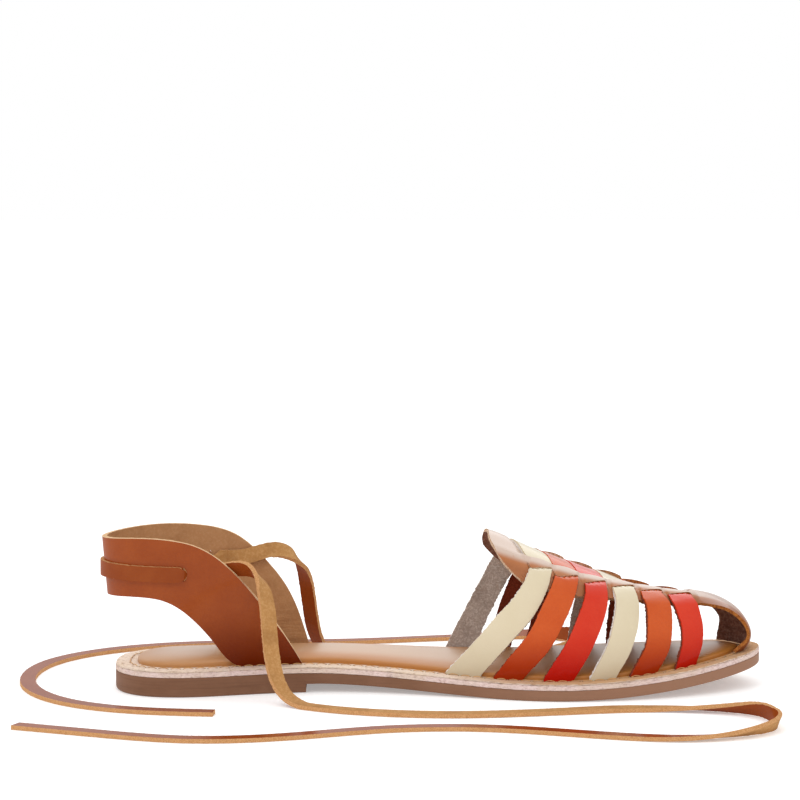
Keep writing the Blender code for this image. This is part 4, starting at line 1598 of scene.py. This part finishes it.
    def build_strap(self, strap: Strap, seed: int) -> None:
        """One strap, with its rough cut edges, set down into the welt at both feet.

        Args:
            strap: the strap.
            seed: of its rough edges.
        """
        shape = self.shape
        rng = np.random.default_rng(seed)
        angle = np.linspace(-90, 90, self.strap_rows)
        middle = strap.station(angle)
        reach = strap.half_width(shape, angle)
        lanes = np.array(self.lanes)
        stations = middle[:, None] + reach[:, None] * lanes
        for column in (0, -1):
            stations[:, column] += rng.normal(0.0, self.jag, self.strap_rows)
        turns = np.radians(np.broadcast_to(angle[:, None], stations.shape))
        grid = shape.vamp_point(stations, turns)
        out = shape.vamp_normal(stations, turns)
        offset = self.strap_offset(strap, stations, angle[:, None] + 0 * stations)
        start, span = self.lean_angles
        lean = self.top_lean + (self.strap_lean - self.top_lean) * ease(
            (abs(angle[:, None]) - start) / span)
        shift = offset + self.strap_crown * (1 - lanes ** 2) - lean * lanes
        grid = grid + out * shift[..., None]
        made = self.maker.strip("strap_" + strap.name, shape.planted(grid, self.strap_foot),
                                (lanes + 1) / 2, self.strap_thickness, strap.dye.value, "vamp")
        Maker.settle(made)
        Maker.fray(made, self.strap_fray, seed, dyed=True)
        Fuzz(self.maker, length=0.4, width=0.05, seed=seed).build(
            made, Fuzz.on_cut_edge, strap.dye.value[2], "vamp")

    # ------------------------ spine

    def throat(self, place: float) -> float:
        """Station of the throat's edge at places from -1 to 1 across the spine."""
        slope, corner, power = self.throat_sides[0 if place < 0 else 1]
        tip = self.apex + np.exp(-(place / self.tip_width) ** 2)
        return tip - slope * place + corner * abs(place) ** power

    def toe_point(self, row: Sequence[float], place: float) -> Array:
        """Point of the spine's toe end.

        Args:
            row: one of toe_rows.
            place: from -1 to 1 across the spine.

        Returns:
            The point, in millimetres.
        """
        station, height, tilt, across, inner, outer, inner_drop, outer_drop = row
        reach, drop = (inner, inner_drop) if place < 0 else (outer, outer_drop)
        full = radians(self.toe_turn)
        turn = full * place
        share = (1 - cos(turn)) / (1 - cos(full))
        tilt = radians(tilt)
        outward = np.array([sin(tilt), 0.0, cos(tilt)])
        point = np.array([station, 0.0, height]) - drop * share * outward
        point[1] = across + reach * sin(turn) / sin(full)
        return point

    def spine_table(self) -> tuple[Array, Array]:
        """The spine's middle surface from the throat to its foot under the toe.

        Returns:
            Points, and outward directions, by row along the spine and by place across it.
        """
        places = np.linspace(-1, 1, self.spine_columns)
        lines = []
        for place in places:
            start = self.throat(place)
            stations = start + (self.front - start) * np.linspace(0, 1, self.spine_stations)
            rows = self.shape.vamp_point(stations, self.shape.spine_angle(stations) * place)
            toe = np.array([self.toe_point(row, place) for row in self.toe_rows])
            rows = np.vstack([rows, toe])
            lines.append(SmoothLine(rows, per_span=self.spine_steps).dense)
        table = np.stack(lines, axis=1)
        along = np.gradient(table, axis=0)
        across = np.gradient(table, axis=1)
        return table, units(np.cross(along, across))

    def spine_offset(self, lane: int, station: Array, angle: Array, share: Array) -> Array:
        """How far a lane of the spine is pushed out or in by the straps that cross it.

        Args:
            lane: from minus two at the inner margin to two at the outer one.
            station: places along the foot.
            angle: angles in degrees.
            share: how far across the lane each place lies, towards the outer side.

        Returns:
            The distances, in millimetres.
        """
        turned = np.clip(angle, -self.weave_reach, self.weave_reach)
        ratios = np.stack([(station - strap.station(turned))
                           / strap.half_width(self.shape, turned) for strap in self.straps])
        ahead = np.take_along_axis(ratios, abs(ratios).argmin(axis=0)[None], axis=0)[0]
        away = abs(ahead)
        join = ease((away - self.join_start)
                    / np.where(station < self.join_change, *self.join_lengths))
        inwards = share if lane < 0 else 1 - share
        sink = self.sink(station, angle)
        if abs(lane) == 2:
            crossed = -self.margin_drop
            joined = self.joint * inwards - self.margin_joint * (1 - inwards)
        elif abs(lane) == 1:
            rise = self.strand_rises[0 if lane < 0 else 1]
            crossed = rise * (1 - self.strand_round + self.strand_round * np.sin(pi * inwards))
            joined = self.joint + (self.strand_hold * rise - self.joint) * ease(inwards)
            if lane > 0:
                bow = (np.clip(ahead, -1, 1) - self.outer_lead) ** 2
                crossed = crossed - self.outer_bow * bow + self.sink_kept * sink
                crossed = crossed - self.outer_tuck * ease((self.tuck_end - station) / 4)
                joined = self.outer_joint
        else:
            crossed = joined = -self.centre_drop
        push = crossed + (joined - crossed) * join - sink
        push = push * self.within(self.phase(station, turned), 0.9)
        fold = self.fold * np.exp(-((angle - self.fold_angle) / self.fold_width) ** 2)
        return push + fold * ease((self.fold_end - station) / 6)

    def build_spine(self) -> None:
        """The spine: five lanes between four rows of slits, one leather sheet."""
        table, out = self.spine_table()
        rows = np.linspace(0, len(table) - 1, self.spine_rows)
        index = np.arange(len(table))
        places = np.linspace(-1, 1, table.shape[1])

        def sample(grid: Array, row: Array, place: Array) -> Array:
            """Values of a table between its rows and places.

            Args:
                grid: the table.
                row: rows, with their fractions.
                place: from -1 to 1 across the spine.

            Returns:
                The values.
            """
            low = np.clip(np.floor(row).astype(int), 0, len(index) - 2)
            left = np.clip(np.searchsorted(places, place, "right") - 1, 0, len(places) - 2)
            t = (row - low)[..., None]
            u = ((place - places[left]) / (places[1] - places[0]))[..., None]
            near = grid[low, left] * (1 - u) + grid[low, left + 1] * u
            far = grid[low + 1, left] * (1 - u) + grid[low + 1, left + 1] * u
            return near * (1 - t) + far * t

        def mark(side: Side, which: int) -> Array:
            """Places of a slit along the rows, found where the slit itself lies.

            Args:
                side: the side of the foot.
                which: nought for the outer slit, one for the middle one.

            Returns:
                One place for each row.
            """
            place = np.full_like(rows, 0.5 * side.value)
            for _ in range(12):
                station = sample(table, rows, place)[:, 0]
                edge = np.degrees(self.shape.spine_angle(np.minimum(station, self.front)))
                found = side.value * self.slit_angles(station, side.value)[which] / edge
                place = 0.5 * (place + found)
            return place

        ends = np.ones_like(rows)
        marks = np.stack([-ends, mark(Side.INNER, 0), mark(Side.INNER, 1),
                          mark(Side.OUTER, 1), mark(Side.OUTER, 0), ends], axis=1)
        grids, uvs = [], []
        for lane in range(-2, 3):
            first, last = marks[:, lane + 2], marks[:, lane + 3]
            share = np.linspace(0, 1, self.lane_columns)
            place = first[:, None] + (last - first)[:, None] * share
            row = np.broadcast_to(rows[:, None], place.shape)
            point, normal = sample(table, row, place), sample(out, row, place)
            angle = place * np.degrees(self.shape.spine_angle(point[..., 0]))
            push = self.spine_offset(lane, point[..., 0], angle,
                                     np.broadcast_to(share, place.shape))
            push = push * ease((self.front + self.flat_end - point[..., 0]) / 6)
            grids.append(point + units(normal) * push[..., None])
            uvs.append(np.stack([row / rows[-1], (place + 1) / 2], axis=-1))
        made = self.maker.leather("spine", grids, uvs, self.spine_thickness,
                                  ["rose_tan_leather", "spine_back", "spine_edge"], "vamp")
        Maker.settle(made)
        Maker.fray(made, self.spine_fray, 30)
        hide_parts("vamp")
        Fuzz(self.maker, per_square_mm=1.2, length=0.35, width=0.05, seed=31).build(
            made, Fuzz.on_cut_edge, "spine_edge", "vamp")

    def build(self) -> None:
        """Builds the spine and the straps."""
        self.build_spine()
        for number, strap in enumerate(self.straps):
            self.build_strap(strap, 100 + number)
        LOG.info("vamp: spine and %d cross straps", len(self.straps))


# ------------------------ heel band and lace

@dataclass
class HeelBand:
    """The band round the heel, with a curved slit on each side for the lace."""
    shape: SoleShape
    maker: Maker
    thickness: float = 2.0
    half_width: float = 23.6
    straight: float = 28.0
    turn_share: float = 0.45
    free_height: float = 52.0
    flare: tuple[float, float] = (4, 26)
    fray: float = 0.2
    foot: float = 0.3
    side_columns: int = 90
    rows: int = 34
    line_steps: int = 300
    lace_height: float = 47.3
    slit_radius: float = 3.2
    slit_width: float = 0.9
    slit_reach: float = 49.0
    slit_depth: float = 4.0
    slits: tuple[tuple[Side, float], ...] = ((Side.INNER, 29.2), (Side.OUTER, 36.4))
    tops: tuple[Table, ...] = (
        ((-4.3, 59.3), (13, 60.8), (24, 60.2), (34, 57.6), (43, 52.0), (50, 45.2), (58, 35.0),
         (66, 23.0), (73, 10.8)),
        ((-4.3, 59.3), (13, 60.8), (30, 60.4), (39, 59.0), (45.5, 56.6), (51.5, 52.4),
         (58, 45.8), (65.4, 36.2), (71, 24.2), (75, 10.8)))
    bottom: Table = (
        (-2.4, 36.9), (13, 37.9), (20, 37.0), (25, 34.8), (30, 31.0), (35, 25.8), (40, 19.2),
        (44.5, 13.2), (47.5, 10.8))

    def __post_init__(self) -> None:
        """Smooths the edges."""
        self.top_lines = {side: SmoothLine(edge).even(self.line_steps)
                          for side, edge in zip(Side, self.tops)}
        self.bottom_line = SmoothLine(self.bottom).even(self.line_steps)

    def back(self, height: Any) -> Array:
        """Station of the band's back at a height: it leans back as it rises."""
        low, high = self.bottom[0], self.tops[0][0]
        share = (np.asarray(height, float) - low[1]) / (high[1] - low[1])
        return low[0] + (high[0] - low[0]) * share

    def across(self, side: Side, station: Any, height: Any) -> Array:
        """The band's middle surface: round the heel, then in to the sole's edge.

        Args:
            side: the side of the foot.
            station: places along the foot, in millimetres.
            height: in millimetres.

        Returns:
            Distances to the outer side, in millimetres.
        """
        station = np.asarray(station, float)
        back = self.back(height)
        lean = np.maximum(0.0, self.straight - station) / (self.straight - back)
        rim = self.half_width * np.sqrt(np.maximum(0.0, 1 - lean * lean))
        base = abs(self.shape.feather_line[0 if side is Side.INNER else 1](station))
        foot = self.bottom[-1][1]
        low = np.clip((self.free_height - height) / (self.free_height - foot), 0, 1)
        start, span = self.flare
        return side.value * (rim + (base - rim) * ease(low) * ease((station - start) / span))

    def edge_station(self, share: Array, edge: Table) -> Array:
        """Station on an edge of the band, by share from the back to the front."""
        turned = self.straight - (self.straight - edge[0][0]) * np.cos(
            pi / 2 * share / self.turn_share)
        ahead = (share - self.turn_share) / (1 - self.turn_share)
        return np.where(share < self.turn_share, turned,
                        self.straight + (edge[-1][0] - self.straight) * ahead)

    def grid(self, side: Side, shares: Array, rises: Array) -> Array:
        """Points of one side of the band, by share along it and rise from its lower edge.

        Args:
            side: the side of the foot.
            shares: from the back of the heel to the front of the band.
            rises: from its lower to its upper edge.

        Returns:
            The points, in millimetres.
        """
        top = self.tops[0 if side is Side.INNER else 1]
        low = self.edge_station(shares, self.bottom)[:, None]
        high = self.edge_station(shares, top)[:, None]
        line = self.top_lines[side]
        foot = np.interp(low, self.bottom_line[:, 0], self.bottom_line[:, 1])
        head = np.interp(high, line[:, 0], line[:, 1])
        station = low + (high - low) * rises
        height = foot + (head - foot) * rises
        return np.stack([station, self.across(side, station, height), height], axis=-1)

    def slit_cutter(self, side: Side, station: float) -> Object:
        """A curved blade that cuts the lace's slit, hollow towards the heel.

        Args:
            side: the side of the foot.
            station: of the slit's front.

        Returns:
            The blade.
        """
        radius, half = self.slit_radius, self.slit_width / 2
        turn = np.radians(np.linspace(-self.slit_reach, self.slit_reach, 15))
        middle = float(self.across(side, station, self.lace_height))
        points, faces = [], []
        for depth in (-self.slit_depth, self.slit_depth):
            for size in (radius - half, radius + half):
                for angle in turn:
                    points.append((station - radius + size * cos(angle), middle + depth,
                                   self.lace_height + size * sin(angle)))
        count = len(turn)
        for c in range(count - 1):
            a, b, d, e = (k * count + c for k in range(4))
            faces += [(a, a + 1, b + 1, b), (d, e, e + 1, d + 1),
                      (a, d, d + 1, a + 1), (b, b + 1, e + 1, e)]
        faces += [(0, count, 3 * count, 2 * count),
                  (count - 1, 3 * count - 1, 4 * count - 1, 2 * count - 1)]
        mesh = bpy.data.meshes.new("blade")
        mesh.from_pydata(DATUM.metres(np.array(points)).tolist(), [], faces)
        with opened(mesh) as work:
            bmesh.ops.recalc_face_normals(work, faces=work.faces)
        return linked("blade", mesh)

    def build(self) -> None:
        """Builds the band, cuts its slits and roughens its cut edges."""
        shares = np.linspace(0, 1, self.side_columns)
        rises = np.linspace(0, 1, self.rows)
        inner, outer = (self.grid(side, shares, rises) for side in Side)
        grid = np.concatenate([inner[::-1], outer[1:]])
        band = self.maker.strip("heel_band_leather", self.shape.planted(grid, self.foot), rises,
                                self.thickness, ["saddle_leather", "band_back", "band_edge"],
                                "heel_band")
        blades = []
        for side, station in self.slits:
            blade = self.slit_cutter(side, station)
            cut = band.modifiers.new("slit", "BOOLEAN")
            cut.operation = "DIFFERENCE"
            cut.solver = "EXACT"
            cut.object = blade
            blades.append(blade)
        Maker.settle(band)
        Maker.fray(band, self.fray, 56)
        for blade in blades:
            bpy.data.objects.remove(blade)
        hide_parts("heel_band")
        Fuzz(self.maker, per_square_mm=1.0, length=0.32, width=0.06, seed=57).build(
            band, Fuzz.on_cut_edge, "band_edge", "heel_band")
        LOG.info("heel band: leather band with two slits")


@dataclass
class Lace:
    """The lace: its run round the heel, and its two loose ends on the floor."""
    band: HeelBand
    maker: Maker
    width: float = 6.0
    thickness: float = 1.6
    clear: float = 0.12
    inside: float = 6.5
    floor_gap: float = 0.1
    jag: float = 0.07
    lanes: tuple[float, ...] = (-1.0, -0.85, -0.4, 0.0, 0.4, 0.85, 1.0)
    rows_per_mm: float = 1.4
    lead: float = 0.5
    round_rows: int = 60
    side_rows: int = 70
    # lengths of the dive through a slit, and how far before the slit each part of it starts
    dive: float = 3.0
    dive_start: float = 1.5
    narrow_start: float = 3.4
    widen_start: float = -0.4
    narrowest: float = 0.25
    finishes: tuple[str, str, str] = ("lace_leather", "lace_back_suede", "lace_edge")
    # station, across, height and roll in degrees
    inner_route: Table = (
        (36.1, -21.1, 47.3, 0), (41.0, -20.9, 47.8, 4), (46.0, -20.7, 48.7, 12),
        (50.8, -21.2, 49.2, 25), (55.2, -23.3, 47.9, 44), (58.5, -26.5, 43.8, 64),
        (60.2, -29.6, 37.6, 80), (61.2, -31.9, 30.4, 88), (62.0, -33.8, 21.6, 90),
        (63.6, -36.6, 12.2, 90), (67.0, -41.0, 5.0, 90), (73.6, -47.2, 1.2, 90),
        (84.0, -54.0, 0.2, 90), (102.0, -61.0, 0, 90), (132.0, -65.0, 0, 90),
        (168.0, -60.0, 0, 90), (204.0, -54.0, 0, 90), (231.0, -58.0, 0, 66),
        (247.0, -70.0, 0, 18), (249.0, -87.0, 0, -18), (237.0, -102.0, 0, -60),
        (211.0, -108.5, 0, -86), (177.0, -100.0, 0, -90), (142.0, -90.0, 0, -90),
        (106.0, -92.0, 0, -90), (71.0, -105.0, 0, -90), (36.0, -110.0, 0, -90),
        (4.0, -100.0, 0, -90), (-29.0, -86.0, 0, -90))
    outer_route: Table = (
        (43.3, 21.3, 47.3, 0), (49.5, 21.4, 47.8, -2), (55.5, 21.3, 49.5, -6),
        (61.0, 22.2, 50.4, -18), (66.0, 24.6, 49.1, -36), (70.2, 28.0, 45.4, -58),
        (72.8, 31.8, 39.4, -78), (74.2, 34.6, 31.0, -88), (75.4, 37.0, 21.0, -90),
        (77.6, 40.4, 11.4, -90), (82.0, 45.2, 4.4, -90), (89.5, 51.0, 1.0, -90),
        (100.0, 56.0, 0.2, -90), (119.0, 60.5, 0, -90), (142.0, 62.0, 0, -90),
        (168.0, 64.0, 0, -80), (184.0, 72.0, 0, -50), (190.0, 86.0, 0, -10),
        (181.0, 100.0, 0, 36), (161.0, 106.0, 0, 76), (130.0, 102.0, 0, 90),
        (96.0, 94.0, 0, 90), (60.0, 90.0, 0, 90), (24.0, 86.0, 0, 90), (-8.0, 72.0, 0, 90),
        (-29.0, 47.0, 0, 90), (-36.0, 16.0, 0, 90), (-31.0, -16.0, 0, 90),
        (-14.0, -42.0, 0, 90), (13.0, -57.0, 0, 90), (42.0, -62.0, 0, 90))

    def back_line(self) -> tuple[Array, Array, Array]:
        """The lace's middle line round the heel.

        Returns:
            Its points, its directions out of the band, and its share of the full width, which
            narrows where the lace dives through a slit.
        """
        band, height = self.band, self.band.lace_height
        reach = band.thickness / 2 + self.clear + self.thickness / 2
        halves = []
        for side, slit in band.slits:
            turned = band.straight - (band.straight - band.back(height)) * np.cos(
                np.linspace(0, pi / 2, self.round_rows)[:-6])
            station = np.concatenate([turned, np.linspace(
                turned[-1] + 0.7, slit + self.inside, self.side_rows)])
            step = 0.3
            behind, ahead = (np.stack([at, band.across(side, at, height)], axis=-1)
                             for at in (np.maximum(band.back(height), station - step),
                                        station + step))
            along = units(ahead - behind)
            out = np.stack([-along[:, 1], along[:, 0], 0 * station], axis=-1) * side.value
            out[0] = (-1.0, 0.0, 0.0)
            past = station - slit
            shift = reach * (1 - 2 * ease((past + self.dive_start) / self.dive))
            centre = np.stack([station, band.across(side, station, height),
                               np.full_like(station, height)], axis=-1)
            away = np.clip((past + self.narrow_start) / self.dive, 0, 1)
            back = ease((past + self.widen_start) / self.dive)
            narrow = np.maximum(np.sqrt(np.maximum(0.0, 1 - away ** 2)),
                                self.narrowest + (1 - self.narrowest) * back)
            halves.append((centre + out * shift[:, None], out, narrow))
        return tuple(np.concatenate([first[::-1], second[1:]])
                     for first, second in zip(*halves))

    def ribbon(self, name: str, line: Array, width_way: Array, share: Array, turned: bool,
               slot: str, seed: int) -> Object:
        """A flat thong along a line.

        Args:
            name: the object's name.
            line: its middle line.
            width_way: the direction of its width at each point.
            share: its share of the full width at each point.
            turned: whether its grain side is turned the other way.
            slot: not used.
            seed: of its rough edges.

        Returns:
            The finished thong.
        """
        rng = np.random.default_rng(seed)
        lanes = np.array(self.lanes)
        half = self.width / 2 * share[:, None] * lanes
        for column in (0, -1):
            half[:, column] += rng.normal(0.0, self.jag, len(line))
        grid = line[:, None, :3] + width_way[:, None] * half[..., None]
        made = self.maker.strip(name, grid, (lanes + 1) / 2, self.thickness, self.finishes,
                                slot, turned)
        Maker.settle(made)
        return made

    def build_back(self) -> None:
        """The run round the outside of the heel."""
        line, _, share = self.back_line()
        up = np.tile([0.0, 0.0, 1.0], (len(line), 1))
        made = self.ribbon("lace_run", line, up, share, True, "lace", 71)
        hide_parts("lace_back")

    def tie_line(self, route: Table) -> tuple[Array, Array]:
        """A loose end's middle line and the direction of its width at each point.

        Args:
            route: rows of station, across, height and roll.

        Returns:
            The two, in millimetres and at length one.
        """
        curve = SmoothLine(route)
        line = curve.even(int(curve.along[-1] * self.rows_per_mm))
        roll = np.radians(line[:, 3])
        rest = (abs(np.cos(roll)) * self.width + abs(np.sin(roll)) * self.thickness) / 2
        line[:, 2] = np.maximum(line[:, 2], rest + self.floor_gap)
        along = units(np.gradient(line[:, :3], axis=0))
        side = units(np.cross([0.0, 0.0, 1.0], along))
        up = np.cross(along, side)
        return line[:, :3], np.cos(roll)[:, None] * up - np.sin(roll)[:, None] * side

    def build_tie(self, name: str, route: Table, turned: bool, seed: int) -> None:
        """One loose end.

        Args:
            name: the cord's name.
            route: rows of station, across, height and roll.
            turned: as in ribbon().
            seed: of its rough edges.
        """
        line, way = self.tie_line(route)
        lead = line[0] - units(line[1] - line[0]) * self.lead
        line = np.vstack([lead, line])
        way = np.vstack([way[:1], way])
        made = self.ribbon(name + "_thong", line, way, np.ones(len(line)), turned, "lace", seed)
        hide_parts(name)
        path = DATUM.metres(line)
        self.width * MM

    def build(self) -> None:
        """Builds the run and both loose ends."""
        self.build_tie("tie_inner", self.inner_route, False, 81)
        self.build_tie("tie_outer", self.outer_route, True, 82)
        self.build_back()
        LOG.info("lace: run round the heel and two loose ends")


# ------------------------ studio

@dataclass
class Studio:
    """Floor, lights and camera."""
    wardrobe: Wardrobe
    distance: float = 1150.0
    station: float = 111.4
    height: float = 217.3
    pitch: float = 5.21
    focal_share: float = 3.69875
    sensor: float = 36.0
    floor_half: float = 6.0
    # name, place, size and power
    lights: tuple[tuple[str, tuple[float, float, float], float, float], ...] = (
        ("key", (-0.5, -0.9, 1.1), 0.7, 3.0), ("back", (0.05, 1.0, 1.0), 1.2, 4.0))
    aim: tuple[float, float, float] = (0.0, 0.0, 0.03)

    def build_camera(self) -> None:
        """The camera looks level across the foot, from the inner side, a little downwards."""
        data = bpy.data.cameras.new("camera")
        data.sensor_width = self.sensor
        data.lens = self.focal_share * self.sensor
        data.clip_end = 100.0
        camera = linked("camera", data)
        camera.location = DATUM.metres(np.array([self.station, -self.distance, self.height]))
        camera.rotation_euler = (radians(90 - self.pitch), 0.0, 0.0)
        bpy.context.scene.camera = camera

    def build_floor(self) -> None:
        """A wide pale floor that the sandal stands on."""
        mesh = bpy.data.meshes.new("floor")
        with opened(mesh) as work:
            bmesh.ops.create_grid(work, x_segments=2, y_segments=2, size=self.floor_half)
        mesh.materials.append(self.wardrobe.take("studio_floor"))
        linked("floor", mesh)

    def light(self, name: str, place: tuple[float, float, float], size: float,
              power: float) -> None:
        """A square soft light that looks at the sandal.

        Args:
            name: the light's name.
            place: where it stands.
            size: its square's side, in metres.
            power: in watts.
        """
        data = bpy.data.lights.new(name, "AREA")
        data.shape = "SQUARE"
        data.size = size
        data.energy = power
        made = linked(name, data)
        made.location = place
        beam = Vector(self.aim) - Vector(place)
        made.rotation_euler = beam.to_track_quat("-Z", "Y").to_euler()

    def build(self) -> None:
        """Sets up the whole studio."""
        scene = bpy.context.scene
        scene.view_settings.view_transform = "Standard"
        world = bpy.data.worlds.new("studio")
        scene.world = world
        world.use_nodes = True
        sky = world.node_tree.nodes["Background"]
        sky.inputs["Color"].default_value = (1.0, 1.0, 1.0, 1.0)
        sky.inputs["Strength"].default_value = 1.0
        self.build_camera()
        self.build_floor()
        for light in self.lights:
            self.light(*light)
        LOG.info("studio: camera, floor and lights")


def main() -> None:
    """Builds the sandal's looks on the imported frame."""
    logging.basicConfig(level=logging.INFO, format="%(message)s")
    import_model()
    wardrobe = Wardrobe()
    maker = Maker(wardrobe)
    shape = SoleShape()
    band = HeelBand(shape, maker)
    Studio(wardrobe).build()
    Lace(band, maker).build()
    Sole(shape, maker).build()
    Vamp(shape, maker).build()
    band.build()


if __name__ == "__main__":
    main()
